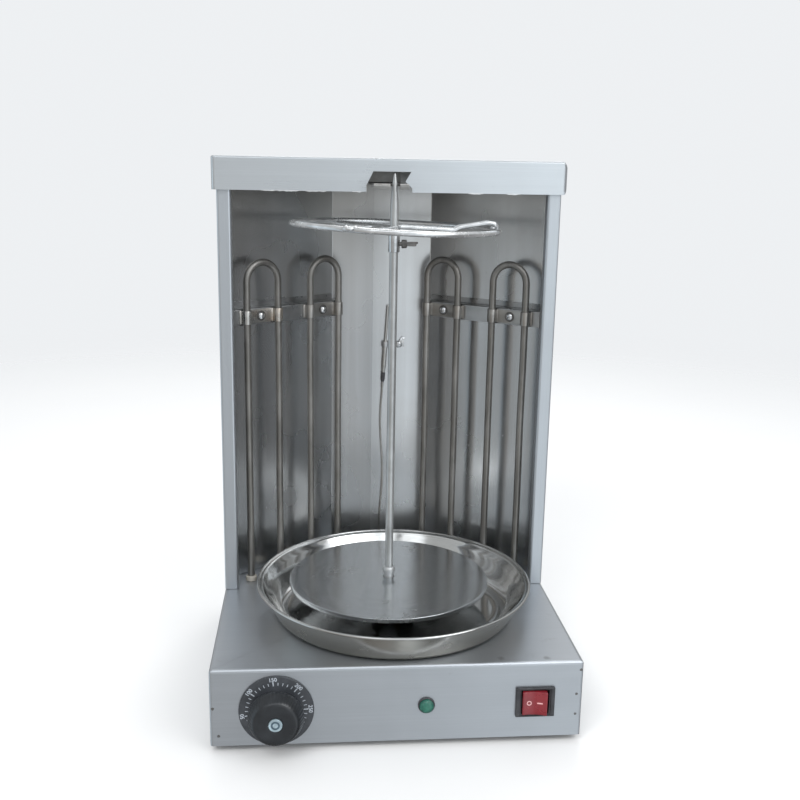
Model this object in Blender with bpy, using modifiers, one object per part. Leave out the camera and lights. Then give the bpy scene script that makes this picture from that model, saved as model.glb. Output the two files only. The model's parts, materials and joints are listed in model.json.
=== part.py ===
"""Vertical spit rotisserie oven: a sheet-steel base with controls, a rear heater casing, a top cap with a spindle
fork, four hairpin heaters, and a motor-driven spit standing in a drip pan. Lengths below are in millimetres; the
front of the base is the plane y = 0 of the drawing, and SHIFT_Y moves the drawing to the part's own frame."""
import math

import bmesh
import bpy
from mathutils import Matrix, Vector

# ---------------------------------------------------------------- driving dimensions (mm)
SHIFT_Y = -134.0
BASE_HALF_W, BASE_D, BASE_Z0, BASE_Z1 = 150.0, 280.0, 6.0, 71.6
SHEET = 1.0
CASING_HALF_W, CASING_Y0, CASING_Y1, CASING_TOP = 149.8, 155.0, 279.4, 463.6
FLANGE_W = 12.2
CAP_HALF_W, CAP_Y0, CAP_Y1, CAP_Z0, CAP_Z1 = 153.6, 151.6, 283.0, 436.8, 465.0
AXIS_Y = 121.0
ROD_R, ROD_TIP_Z, ROD_TAPER = 3.6, 452.8, 30.0
PLATE_R, PLATE_TOP = 89.1, 96.7
PAN_R, PAN_RIM_Z, PAN_CENTRE = 121.7, 99.6, (3.9, 113.0)
RING_R, RING_Z, RING_WIRE = 87.8, 408.1, 2.0
ARM_WIRE, ARM_HALF = 1.6, 4.0
TUBE_R, HAIRPIN_PITCH, HEATER_TOP = 3.25, 34.3, 375.9
HEATER_MID, HEATER_DU, HEATER_ANGLE = (85.0, 209.75), 35.9, math.radians(38.0)
LINER_GAP = 17.1
LINER_BACK_Y, LINER_SEAM_X, LINER_LAP_X = 260.6, 47.7, -8.7
CLAMP_Z = 324.0
KNOB_X, KNOB_Z, DIAL_R = -97.5, 36.3, 29.8
LAMP_X, LAMP_Z = 22.3, 36.9
SWITCH_X, SWITCH_Z = 110.9, 37.4
GAP = 0.3

# ---------------------------------------------------------------- scene and materials
for _o in list(bpy.data.objects):
    bpy.data.objects.remove(_o, do_unlink=True)

PARTS = bpy.data.collections.new("rotisserie_oven")
CUTTERS = bpy.data.collections.new("cutters")
bpy.context.scene.collection.children.link(PARTS)
bpy.context.scene.collection.children.link(CUTTERS)


def paint(name, rgb, metallic, rough):
    m = bpy.data.materials.new(name)
    m.use_nodes = True
    b = m.node_tree.nodes["Principled BSDF"]
    b.inputs["Base Color"].default_value = (rgb[0], rgb[1], rgb[2], 1.0)
    b.inputs["Metallic"].default_value = metallic
    b.inputs["Roughness"].default_value = rough
    m.diffuse_color = (rgb[0], rgb[1], rgb[2], 1.0)
    return m


# name: (colour, metallic, roughness)
LOOKS = {
    "brushed_steel": ((0.55, 0.57, 0.60), 1.0, 0.38), "polished_steel": ((0.62, 0.63, 0.64), 1.0, 0.15),
    "heater_sheath": ((0.23, 0.21, 0.19), 0.9, 0.45), "clamp_steel": ((0.40, 0.37, 0.34), 1.0, 0.40),
    "bright_steel": ((0.66, 0.66, 0.65), 1.0, 0.22), "zinc_steel": ((0.50, 0.51, 0.52), 0.9, 0.42),
    "ceramic": ((0.83, 0.81, 0.76), 0.0, 0.55), "black_plastic": ((0.03, 0.03, 0.035), 0.0, 0.35),
    "dial_black": ((0.04, 0.045, 0.05), 0.0, 0.45), "cap_silver": ((0.45, 0.55, 0.60), 0.8, 0.35),
    "red_plastic": ((0.36, 0.01, 0.02), 0.0, 0.30), "green_lens": ((0.02, 0.22, 0.12), 0.0, 0.20),
    "rubber": ((0.03, 0.03, 0.03), 0.0, 0.80), "bronze": ((0.50, 0.36, 0.20), 1.0, 0.40),
    "copper_steel": ((0.42, 0.36, 0.30), 1.0, 0.40),
}


# ---------------------------------------------------------------- mesh helpers
def finish(name, bm, look, origin=(0, 0, 0), smooth=False, hidden=False):
    """Turn a drawing-space mesh into a named object whose own origin is `origin`."""
    bmesh.ops.remove_doubles(bm, verts=bm.verts, dist=1e-4)
    bmesh.ops.recalc_face_normals(bm, faces=bm.faces)
    o = Vector(origin)
    for v in bm.verts:
        v.co = (v.co - o) * 0.001
    me = bpy.data.meshes.new(name)
    bm.to_mesh(me)
    bm.free()
    ob = bpy.data.objects.new(name, me)
    ob.location = ((o.x) * 0.001, (o.y + SHIFT_Y) * 0.001, o.z * 0.001)
    if hidden:
        CUTTERS.objects.link(ob)
        ob.hide_render = True
        ob.display_type = "WIRE"
        return ob
    PARTS.objects.link(ob)
    m = paint(name, *LOOKS[look])
    me.materials.append(m)
    if smooth:
        for p in me.polygons:
            p.use_smooth = True
    return ob


def block(x0, x1, y0, y1, z0, z1, bevel=0.0, seg=2):
    bm = bmesh.new()
    bmesh.ops.create_cube(bm, size=1.0)
    for v in bm.verts:
        v.co = Vector(((x0 + x1) / 2 + v.co.x * (x1 - x0), (y0 + y1) / 2 + v.co.y * (y1 - y0),
                       (z0 + z1) / 2 + v.co.z * (z1 - z0)))
    if bevel:
        bmesh.ops.bevel(bm, geom=list(bm.edges), offset=bevel, segments=seg, profile=0.5, affect="EDGES")
    return bm


def turned(profile, n, origin=(0, 0, 0), direction=(0, 0, 1)):
    """Solid of revolution of (radius, height) points; ends on the axis, or closes on itself as a ring."""
    bm = bmesh.new()
    d = Vector(direction).normalized()
    rot = Vector((0, 0, 1)).rotation_difference(d).to_matrix()
    o = Vector(origin)
    rings = []
    for r, h in profile:
        if r <= 1e-6:
            rings.append([bm.verts.new(o + rot @ Vector((0, 0, h)))])
            continue
        ring = []
        for i in range(n):
            a = 2 * math.pi * i / n
            ring.append(bm.verts.new(o + rot @ Vector((r * math.cos(a), r * math.sin(a), h))))
        rings.append(ring)
    pairs = list(zip(rings, rings[1:]))
    if len(rings[0]) > 1:
        pairs.append((rings[-1], rings[0]))
    for a, b in pairs:
        for i in range(n):
            j = (i + 1) % n
            if len(a) == 1 and len(b) == 1:
                continue
            if len(a) == 1:
                bm.faces.new((a[0], b[j], b[i]))
            elif len(b) == 1:
                bm.faces.new((a[i], a[j], b[0]))
            else:
                bm.faces.new((a[i], a[j], b[j], b[i]))
    return bm


def arc(cx, cy, r, a0, a1, n):
    return [(cx + r * math.cos(math.radians(a0 + (a1 - a0) * i / n)),
             cy + r * math.sin(math.radians(a0 + (a1 - a0) * i / n))) for i in range(n + 1)]


def round_corners(pts, radius, n=3):
    """Replace each inner corner of an open plan line by a small bend."""
    out = [Vector(pts[0])]
    for p, q, r in zip(pts, pts[1:], pts[2:]):
        p, q, r = Vector(p), Vector(q), Vector(r)
        a, b = (p - q).normalized(), (r - q).normalized()
        half = a.angle(b) / 2
        cut = min(radius / math.tan(half), (p - q).length * 0.49, (r - q).length * 0.49)
        rad = cut * math.tan(half)
        centre = q + (a + b).normalized() * (rad / math.sin(half))
        s, e = q + a * cut, q + b * cut
        a0 = math.atan2(s.y - centre.y, s.x - centre.x)
        da = math.atan2(e.y - centre.y, e.x - centre.x) - a0
        da = (da + math.pi) % (2 * math.pi) - math.pi
        out += [Vector((centre.x + rad * math.cos(a0 + da * i / n), centre.y + rad * math.sin(a0 + da * i / n)))
                for i in range(n + 1)]
    out.append(Vector(pts[-1]))
    return out


def strip(line, thick, lo, hi, place):
    """Sheet of one thickness following a plan line, between the heights lo and hi; place maps (u, v, w)."""
    bm = bmesh.new()
    pts = [Vector(p) for p in line]
    cols = []
    for i, p in enumerate(pts):
        a = (pts[i] - pts[i - 1]).normalized() if i else None
        b = (pts[i + 1] - pts[i]).normalized() if i + 1 < len(pts) else None
        t = (a + b).normalized() if a and b else (a or b)
        k = 1.0 / max(0.3, t.dot(b or a))
        nrm = Vector((-t.y, t.x)) * (thick / 2 * k)
        cols.append([bm.verts.new(place(q.x, q.y, w)) for q in (p + nrm, p - nrm) for w in (lo, hi)])
    for a, b in zip(cols, cols[1:]):
        for i, j in ((0, 1), (1, 3), (3, 2), (2, 0)):
            bm.faces.new((a[i], a[j], b[j], b[i]))
    for c in (cols[0], cols[-1]):
        bm.faces.new((c[0], c[1], c[3], c[2]))
    return bm


def prism(pts, lo, hi, place):
    bm = bmesh.new()
    low = [bm.verts.new(place(x, y, lo)) for x, y in pts]
    top = [bm.verts.new(place(x, y, hi)) for x, y in pts]
    bm.faces.new(low)
    bm.faces.new(top)
    for i in range(len(pts)):
        j = (i + 1) % len(pts)
        bm.faces.new((low[i], low[j], top[j], top[i]))
    return bm


def wire(pts, r, n, closed=False):
    """Round wire along points, its section carried without twist; flat ends when open."""
    bm = bmesh.new()
    pts = [Vector(p) for p in pts]
    m = len(pts)
    tang = []
    for i in range(m):
        a = pts[i - 1] if (i or closed) else pts[i]
        b = pts[(i + 1) % m] if (i + 1 < m or closed) else pts[i]
        tang.append((b - a).normalized())
    up = Vector((0, 0, 1)) if abs(tang[0].z) < 0.9 else Vector((1, 0, 0))
    nrm = (up - tang[0] * up.dot(tang[0])).normalized()
    rings = []
    for i in range(m):
        if i:
            nrm = (nrm - tang[i] * nrm.dot(tang[i])).normalized()
        bi = tang[i].cross(nrm)
        rings.append([bm.verts.new(pts[i] + (nrm * math.cos(2 * math.pi * k / n) + bi * math.sin(2 * math.pi * k / n)) * r)
                      for k in range(n)])
    pairs = list(zip(rings, rings[1:])) + ([(rings[-1], rings[0])] if closed else [])
    for a, b in pairs:
        for k in range(n):
            bm.faces.new((a[k], a[(k + 1) % n], b[(k + 1) % n], b[k]))
    if not closed:
        bm.faces.new(rings[0])
        bm.faces.new(rings[-1])
    return bm


def shell(x0, x1, y0, y1, z0, z1, side_r, top_r, thick, seg=3):
    """Folded tray, open below, with rounded folds; walls of one thickness."""
    bm = block(x0, x1, y0, y1, z0, z1)
    up = [e for e in bm.edges if abs(e.verts[0].co.z - e.verts[1].co.z) > 1]
    bmesh.ops.bevel(bm, geom=up, offset=side_r, segments=seg, profile=0.5, affect="EDGES")
    top = [e for e in bm.edges if min(v.co.z for v in e.verts) > z1 - 1e-3]
    bmesh.ops.bevel(bm, geom=top, offset=top_r, segments=seg, profile=0.5, affect="EDGES")
    low = [f for f in bm.faces if max(v.co.z for v in f.verts) < z0 + 1e-3]
    bmesh.ops.delete(bm, geom=low, context="FACES")
    bmesh.ops.recalc_face_normals(bm, faces=bm.faces)
    return bm


def thicken(ob, thick):
    m = ob.modifiers.new("sheet", "SOLIDIFY")
    m.thickness = thick * 0.001
    m.offset = -1.0
    m.use_even_offset = True


def combine(ob, tools, operation="DIFFERENCE"):
    for t in tools:
        m = ob.modifiers.new(t.name, "BOOLEAN")
        m.operation = operation
        m.solver = "EXACT"
        m.object = t


def tool(name, bm):
    return finish(name, bm, None, hidden=True)


def hole(name, x, y, z, r, length, direction=(0, 0, 1), n=14):
    bm = turned([(0, -length / 2), (r, -length / 2), (r, length / 2), (0, length / 2)], n, (x, y, z), direction)
    return tool(name, bm)


def slot_box(name, x0, x1, y0, y1, z0, z1):
    return tool(name, block(x0, x1, y0, y1, z0, z1))


def flat(x, y, w):
    return Vector((x, y, w))


# ---------------------------------------------------------------- heater bank frame
CA, SA = math.cos(HEATER_ANGLE), math.sin(HEATER_ANGLE)


def bank(side):
    """(u outward and forward, v toward the spit, height) on the left (-1) or right (+1) heater bank."""
    def place(u, v, w):
        return Vector((side * (HEATER_MID[0] + u * CA - v * SA), HEATER_MID[1] - u * SA - v * CA, w))
    return place


def toward_spit(side):
    return Vector((-side * SA, -CA, 0))


BANKS = {"left": -1, "right": 1}
HEATERS = [("left_outer", -1, 1), ("left_inner", -1, -1), ("right_inner", 1, -1), ("right_outer", 1, 1)]
LEG = HAIRPIN_PITCH / 2


# ---------------------------------------------------------------- base
def base_housing():
    ob = finish("base_housing", shell(-BASE_HALF_W, BASE_HALF_W, 0, BASE_D, BASE_Z0, BASE_Z1, 2.2, 2.6, SHEET),
                "brushed_steel")
    thicken(ob, SHEET)
    cuts = [hole("cut_thermostat", KNOB_X, 0, KNOB_Z, 4.6, 8, (0, 1, 0)),
            hole("cut_lamp", LAMP_X, 0, LAMP_Z, 5.3, 8, (0, 1, 0)),
            slot_box("cut_switch", SWITCH_X - 14.6, SWITCH_X + 14.6, -4, 4, SWITCH_Z - 11.1, SWITCH_Z + 11.1),
            hole("cut_drive", 0, AXIS_Y, BASE_Z1, 10.3, 8, n=28),
            hole("cut_gland", 100, BASE_D, 30, 8.3, 8, (0, 1, 0)),
            hole("cut_capillary", 1.4, 257.2, BASE_Z1, 1.6, 8, n=12)]
    for tag, side, io in HEATERS:
        for k, e in (("a", 1), ("b", -1)):
            p = bank(side)(io * HEATER_DU + e * LEG, 0, BASE_Z1)
            cuts.append(hole("cut_leg_%s_%s" % (tag, k), p.x, p.y, p.z, 4.7, 8))
    for i in range(4):
        cuts.append(slot_box("cut_vent_%d" % i, -70 + i * 36, -44 + i * 36, BASE_D - 4, BASE_D + 4, 36, 40))
    combine(ob, cuts)


def base_bottom():
    bm = block(-148.6, 148.6, 1.4, 278.6, 6.5, 7.5)
    up = [e for e in bm.edges if abs(e.verts[0].co.z - e.verts[1].co.z) > 0.5]
    bmesh.ops.bevel(bm, geom=up, offset=1.6, segments=2, profile=0.5, affect="EDGES")
    ob = finish("base_bottom", bm, "zinc_steel")
    combine(ob, [slot_box("cut_floor_%d" % i, -60, 60, 90 + i * 16, 94 + i * 16, 0, 20) for i in range(6)])


def feet():
    for k, x in (("left", -125), ("right", 125)):
        for j, y in (("front", 26), ("rear", 254)):
            bm = turned([(0, 6.2), (9.5, 6.2), (9.5, 5.2), (8.2, 0.6), (7.6, 0), (3.6, 0), (3.6, 2.6), (0, 2.6)], 14, (x, y, 0))
            finish("foot_%s_%s" % (j, k), bm, "rubber", (x, y, 0))


def cable_gland():
    bm = turned([(3.5, -8), (8.0, -8), (8.0, 0.3), (11.5, 0.3), (11.5, 4.3), (9.2, 5.0), (8.0, 10.9), (7.4, 11.5), (3.5, 11.5)],
                16, (100, BASE_D, 30), (0, 1, 0))
    finish("cable_gland", bm, "black_plastic")


# ---------------------------------------------------------------- casing, liner, cap, fork
def rear_casing():
    x, y0, y1 = CASING_HALF_W - SHEET / 2, CASING_Y0 + SHEET / 2, CASING_Y1 - SHEET / 2
    xi = CASING_HALF_W - FLANGE_W + SHEET / 2
    half = [(xi, y0 + 8), (xi, y0), (x, y0), (x, y1)]
    line = round_corners(half + [(-a, b) for a, b in reversed(half)], 1.6)
    ob = finish("rear_casing", strip(line, SHEET, BASE_Z1 + GAP, CASING_TOP, flat), "brushed_steel")
    cuts = [slot_box("cut_back_%d" % i, -45, 45, 270, 290, 380 + i * 12, 384 + i * 12) for i in range(4)]
    combine(ob, cuts)


def liners():
    front = (148.2, 168.0)
    corner_y = LINER_BACK_Y
    for tag, side, y, lap in (("right", 1, corner_y, LINER_LAP_X - 6), ("left", -1, corner_y - 0.9, LINER_LAP_X)):
        sx = LINER_SEAM_X + (0.0 if side > 0 else 1.2)
        line = [(side * front[0], front[1]), (side * front[0], 182.0), (side * sx, y), (lap, y)]
        if side < 0:
            line = [(line[0][0], line[0][1]), (line[1][0], line[1][1]), (line[2][0], line[2][1]), (lap, y)]
        finish("liner_%s" % tag, strip(round_corners(line, 1.5), 0.6, BASE_Z1 + 0.4, 460.0, flat), "polished_steel")


def top_cap():
    ob = finish("top_cap", shell(-CAP_HALF_W, CAP_HALF_W, CAP_Y0, CAP_Y1, CAP_Z0, CAP_Z1, 3.6, 1.6, SHEET),
                "brushed_steel")
    thicken(ob, SHEET)
    notch = [(-16.0, 454.1), (16.5, 454.1), (11.6, 445.8), (17.7, 440.4), (17.7, 430.0), (-21.9, 430.0), (-21.9, 442.4)]
    cut = tool("cut_notch", prism(notch, CAP_Y0 - 3, CAP_Y0 + 4, lambda x, z, w: Vector((x, w, z))))
    combine(ob, [cut])


def spindle_fork():
    line = round_corners([(115.6, 439.9), (115.6, 443.4), (202.0, 443.4), (202.0, 462.9), (226.0, 462.9)], 1.4)
    ob = finish("spindle_fork", strip(line, 1.6, -17.7, 11.7, lambda y, z, x: Vector((x, y, z))), "bright_steel")
    combine(ob, [slot_box("cut_fork_slot", -4.0, 4.0, 108, AXIS_Y, 436, 448), hole("cut_fork_end", 0, AXIS_Y, 443, 4.0, 12, n=24)])


# ---------------------------------------------------------------- heaters
def heater_tubes():
    top = HEATER_TOP - TUBE_R - LEG
    for tag, side, io in HEATERS:
        place = bank(side)
        u = io * HEATER_DU
        pts = [place(u - LEG, 0, 60.0)] + [place(u - LEG * math.cos(math.pi * i / 12), 0, top + LEG * math.sin(math.pi * i / 12))
                                           for i in range(13)] + [place(u + LEG, 0, 60.0)]
        finish("heater_%s" % tag, wire(pts, TUBE_R, 12), "heater_sheath", smooth=True)


def insulators():
    for tag, side, io in HEATERS:
        for k, e in (("a", 1), ("b", -1)):
            p = bank(side)(io * HEATER_DU + e * LEG, 0, BASE_Z1)
            prof = [(3.6, 4.8), (4.7, 4.8), (5.2, 4.2), (5.2, 0.3), (4.3, 0.3), (4.3, -4), (3.6, -4)]
            finish("insulator_%s_%s" % (tag, k), turned(prof, 12, p), "ceramic", p)


def support_bars():
    for tag, side in BANKS.items():
        place = bank(side)
        line = round_corners([(-4.15, CLAMP_Z - 7.5), (-4.15, CLAMP_Z + 7.0), (-15.9, CLAMP_Z + 7.0), (-15.9, CLAMP_Z + 12.5)], 1.0)
        ob = finish("support_bar_%s" % tag, strip(line, 1.2, -57.5, 66.0, lambda v, z, u: place(u, v, z)), "zinc_steel")
        cuts = []
        for j, io in enumerate((-1, 1)):
            p = place(io * HEATER_DU, -4.15, CLAMP_Z)
            cuts.append(hole("cut_bar_%s_%d" % (tag, j), p.x, p.y, p.z, 1.9, 6, toward_spit(side), n=12))
        combine(ob, cuts)


def heater_clamps():
    rc = TUBE_R + GAP + 0.4
    mid = -2.85
    half = [(0.0, mid), (LEG - rc, mid)] + arc(LEG, 0, rc, 180, 0, 8) + [(LEG + rc, mid), (LEG + rc + 1.8, mid)]
    line = [(-a, b) for a, b in reversed(half[1:])] + half
    for tag, side, io in HEATERS:
        place = bank(side)
        u0 = io * HEATER_DU
        bm = strip(line, 0.8, CLAMP_Z - 6.1, CLAMP_Z + 6.1, lambda u, v, w: place(u0 + u, v, w))
        ob = finish("clamp_%s" % tag, bm, "clamp_steel")
        p = place(u0, mid, CLAMP_Z)
        combine(ob, [hole("cut_clamp_%s" % tag, p.x, p.y, p.z, 1.9, 3, toward_spit(side), n=12)])
        q = place(u0, mid + 0.4, CLAMP_Z)
        bm = turned([(0, -5.4), (1.6, -5.4), (1.6, 0.3), (3.7, 0.3), (3.7, 0.9), (3.2, 1.8), (2.0, 2.5), (0, 2.8)], 12,
                    q, toward_spit(side))
        finish("clamp_screw_%s" % tag, bm, "bright_steel", q)


# ---------------------------------------------------------------- drive and spit
def drive():
    bm = turned([(0, 28), (29, 28), (30, 29), (30, 49), (29, 50), (24, 50), (24, 54), (9, 54), (9, 61.3), (4.5, 61.3), (4.5, 42), (0, 42)],
                24, (0, AXIS_Y, 0))
    finish("gear_motor", bm, "zinc_steel", (0, AXIS_Y, 0))
    line = round_corners([(-52, 69.6), (-38, 69.6), (-38, 55.1), (38, 55.1), (38, 69.6), (52, 69.6)], 1.6)
    ob = finish("motor_bracket", strip(line, 1.6, AXIS_Y - 19, AXIS_Y + 19, lambda x, z, y: Vector((x, y, z))), "zinc_steel")
    combine(ob, [hole("cut_bracket", 0, AXIS_Y, 55, 10.0, 8, n=24)])
    bm = turned([(4.35, 1.8), (12.0, 1.8), (12.8, 1.2), (12.8, 0.3), (10.0, 0.3), (10.0, -9.5), (4.35, -9.5)], 24, (0, AXIS_Y, BASE_Z1))
    finish("drive_bush", bm, "bronze", (0, AXIS_Y, BASE_Z1))
    ob = finish("drive_shaft", turned([(0, 43), (4.25, 43), (4.25, 77.0), (0, 77.0)], 24, (0, AXIS_Y, 0)), "bright_steel", (0, AXIS_Y, 0))
    combine(ob, [tool("add_square", block(-2.9, 2.9, AXIS_Y - 2.9, AXIS_Y + 2.9, 76.0, 91.2, 0.3, 1))], "UNION")


def spit():
    o = (0, AXIS_Y, 0)
    prof = [(0, ROD_TIP_Z), (0.8, ROD_TIP_Z - 1.0), (2.5, ROD_TIP_Z - 12), (ROD_R, ROD_TIP_Z - ROD_TAPER), (ROD_R, 93.4), (0, 93.4)]
    finish("spindle", turned(prof, 20, o), "bright_steel", o, smooth=True)
    prof = [(0, 93.0), (3.9, 93.0), (3.9, 102.4), (4.9, 102.7), (5.9, 101.7), (6.5, 99.8), (6.5, PLATE_TOP + GAP), (4.9, PLATE_TOP + GAP),
            (4.9, 94.8), (8.0, 94.8), (8.0, 77.5), (0, 77.5)]
    ob = finish("spindle_hub", turned(prof, 20, o), "bright_steel", o)
    combine(ob, [slot_box("cut_hub_square", -3.2, 3.2, AXIS_Y - 3.2, AXIS_Y + 3.2, 70, 91.5)])
    t = PLATE_TOP
    prof = [(5.2, t), (85.5, t), (88.2, t - 1.0), (PLATE_R, t - 3.7), (PLATE_R - 1.1, t - 3.7), (86.6, t - 1.8),
            (84.6, t - 1.4), (5.2, t - 1.4)]
    finish("meat_plate", turned(prof, 56, o), "polished_steel", o)


def crown():
    c = (0, AXIS_Y, RING_Z)
    ring = [(RING_R * math.cos(2 * math.pi * i / 54), AXIS_Y + RING_R * math.sin(2 * math.pi * i / 54), RING_Z) for i in range(54)]
    ob = finish("crown_ring", wire(ring, RING_WIRE, 8, closed=True), "bright_steel", c, smooth=True)
    arms = []
    lift = RING_WIRE + ARM_WIRE - 0.25
    for k, deg in enumerate((2.0, 122.0, 242.0)):
        a = math.radians(deg)
        side = [(5.0, ARM_HALF, 0), (52, ARM_HALF, 0), (57, ARM_HALF, lift)]
        end = [(86 + ARM_HALF * math.sin(math.pi * i / 6), ARM_HALF * math.cos(math.pi * i / 6), lift) for i in range(7)]
        path = side + end + [(s, -t, h) for s, t, h in reversed(side)]
        pts = [(s * math.cos(a) - t * math.sin(a), AXIS_Y + s * math.sin(a) + t * math.cos(a), RING_Z + h) for s, t, h in path]
        arms.append(tool("add_arm_%d" % k, wire(pts, ARM_WIRE, 8)))
    combine(ob, arms, "UNION")
    prof = [(3.7, 1.9), (4.5, 1.9), (4.9, 1.5), (4.9, -19.5), (4.5, -19.9), (3.7, -19.9)]
    ob = finish("crown_collar", turned(prof, 16, c), "bright_steel", c)
    combine(ob, [hole("cut_collar", 5, AXIS_Y, 395.1, 1.95, 6, (1, 0, 0), n=12)])
    s = (0, AXIS_Y, 395.1)
    ob = finish("crown_screw", turned([(0, 3.85), (1.7, 3.85), (1.7, 6.4), (3.2, 6.4), (3.6, 7.0), (3.6, 10.2), (3.0, 10.9), (0, 10.9)],
                                      12, s, (1, 0, 0)), "zinc_steel", s)
    half = [(6.8, 2.6), (9.0, 5.4), (13.5, 8.2), (18.0, 8.6), (19.6, 7.0), (18.6, 4.4), (14.5, 3.4), (11.0, 0.8)]
    wing = half + [(x, -z) for x, z in reversed(half)]
    c, t = math.cos(math.radians(78)), math.sin(math.radians(78))
    blade = prism(wing, -0.8, 0.8, lambda x, z, w: Vector((x, AXIS_Y + w * c - z * t, 395.1 + z * c + w * t)))
    combine(ob, [tool("add_wings", blade)], "UNION")


def drip_pan():
    o = (PAN_CENTRE[0], PAN_CENTRE[1], 0)
    r, z, b = PAN_R, PAN_RIM_Z, BASE_Z1 + GAP
    outer = [(r - 1, z), (r, z - 1), (r - 0.8, z - 2), (r - 4.4, z - 2.6), (r - 5.2, z - 3.6), (112.4, b + 15.5),
             (109.2, b + 8.5), (107.2, b + 4.0), (105.4, b + 1.4), (102.6, b), (25.2, b), (23.2, b + 2.4), (23.2, 80.5)]
    inner = [(24.0, 80.5), (24.1, b + 2.8), (25.6, b + 0.8), (102.3, b + 0.8), (104.7, b + 2.0), (106.4, b + 4.4),
             (108.4, b + 8.8), (111.6, b + 15.8), (r - 6.1, z - 3.2), (r - 4.8, z - 1.7), (r - 2, z - 1.0)]
    finish("drip_pan", turned(outer + inner, 56, o), "polished_steel", o, smooth=True)


# ---------------------------------------------------------------- controls
def controls():
    front = (0, -1, 0)
    k = (KNOB_X, 0, KNOB_Z)
    finish("dial_plate", turned([(4.6, 0.3), (DIAL_R, 0.3), (DIAL_R, 1.3), (DIAL_R - 0.6, 1.7), (4.6, 1.7)], 44, k, front), "dial_black", k)
    bm = block(KNOB_X - 20, KNOB_X + 20, 2.0, 24.0, KNOB_Z - 16, KNOB_Z + 16, 1.2, 1)
    ob = finish("thermostat", bm, "zinc_steel", k)
    combine(ob, [hole("cut_stat", KNOB_X, 2, KNOB_Z, 3.3, 24, (0, 1, 0))])
    finish("thermostat_shaft", turned([(0, -12), (3.0, -12), (3.0, 14.6), (0, 14.6)], 20, k, front), "bright_steel", k)
    prof = [(3.1, 2.3), (15.2, 2.3), (17.2, 7.4), (21.6, 10.2), (22.3, 12.4), (19.4, 20.0), (17.6, 22.3), (15.6, 23.0), (5.8, 23.0),
            (5.8, 21.6), (3.1, 21.6)]
    finish("knob", turned(prof, 40, k, front), "black_plastic", k, smooth=True)
    finish("knob_cap", turned([(0, 21.9), (5.5, 21.9), (5.5, 23.0), (5.0, 23.4), (0, 23.5)], 20, k, front), "cap_silver", k)
    p = (LAMP_X, 0, LAMP_Z)
    finish("lamp_body", turned([(0, -24), (4.6, -24), (4.9, -6), (4.9, 0.3), (7.2, 0.3), (7.2, 1.2), (6.6, 1.8), (6.1, 1.8), (6.1, 1.0), (0, 1.0)],
                               20, p, front), "black_plastic", p)
    finish("lamp_lens", turned([(0, 1.3), (5.8, 1.3), (5.8, 2.6), (5.2, 3.8), (3.6, 4.8), (1.8, 5.2), (0, 5.3)], 20, p, front), "green_lens", p)
    x, z = SWITCH_X, SWITCH_Z
    ob = finish("switch_body", block(x - 15.95, x + 15.95, -2.4, -0.3, z - 12.85, z + 12.85, 0.6, 2), "black_plastic", (x, 0, z))
    combine(ob, [tool("add_switch", block(x - 14.2, x + 14.2, -1.5, 20, z - 10.8, z + 10.8))], "UNION")
    combine(ob, [slot_box("cut_rocker", x - 11.3, x + 11.3, -8, 9, z - 10.4, z + 10.4)])
    face = [(-10.0, -5.4), (-5.0, -4.3), (0, -3.9), (5.0, -4.3), (10.0, -5.4), (9.9, 1.0), (3.0, 7.0), (-3.0, 7.0), (-9.9, 1.0)]
    tilt = Matrix.Rotation(math.radians(-7.0), 2)
    pts = [tilt @ Vector((a, b - 3.0)) for a, b in face]
    bm = prism([(x + q.x, 3.0 + q.y) for q in pts], z - 10.0, z + 10.0, flat)
    finish("rocker", bm, "red_plastic", (x, 3.0, z))


def heat_sensor():
    y = LINER_BACK_Y - 0.3 - GAP - 2.4
    a, b = Vector((6.2, y, 325.4)), Vector((1.5, y, 241.0))
    d = (b - a).normalized()
    length = (b - a).length
    finish("sensor_bulb", turned([(0, 0), (1.7, 0.5), (2.4, 2.2), (2.4, length - 6), (1.2, length - 1), (0, length)], 14, a, d),
           "copper_steel", smooth=True)
    cx, cy = 4.0, y
    yf = LINER_BACK_Y - 0.3 - GAP - 0.4
    r = 3.25
    line = [(-4.0, yf), (cx - r, yf)] + [(cx + r * math.cos(t), cy - r * math.sin(t)) for t in
                                         [math.pi * (1 - i / 8) for i in range(9)]] + [(cx + r, yf), (23.5, yf)]
    ob = finish("bulb_clip", strip(line, 0.8, 281.0, 291.0, flat), "clamp_steel")
    combine(ob, [hole("cut_clip", 17.6, yf, 286, 1.9, 4, (0, 1, 0), n=12)])
    q = (17.6, yf - 0.4, 286)
    bm = turned([(0, -1.0), (1.6, -1.0), (1.6, 0.3), (4.2, 0.3), (4.2, 1.0), (3.4, 2.2), (1.8, 2.9), (0, 3.1)], 12, q, (0, -1, 0))
    finish("bulb_clip_screw", bm, "bright_steel", q)
    path = [b + d * 0.3]
    path += [Vector((1.5 - 1.5 * math.sin(i * 0.9), y + 0.7 * (i / 10.0), 238.0 - i * 16.4)) for i in range(10)]
    path += [Vector((1.4, 257.2, 80.0)), Vector((1.4, 257.2, 60.0))]
    finish("capillary", wire(path, 0.9, 8), "copper_steel", smooth=True)


base_housing()
base_bottom()
feet()
cable_gland()
rear_casing()
liners()
top_cap()
spindle_fork()
heater_tubes()
insulators()
support_bars()
heater_clamps()
drive()
spit()
crown()
drip_pan()
controls()
heat_sensor()
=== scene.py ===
"""Looks for the vertical spit oven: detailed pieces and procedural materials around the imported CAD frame.
Piece shapes below are drawn in millimetres in the drawing's axes and moved into the frame by piece()."""
import json
import random
from math import asin, cos, exp, pi, radians, sin

import bmesh
import bpy
from mathutils import Matrix, Vector, noise as mnoise


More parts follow.
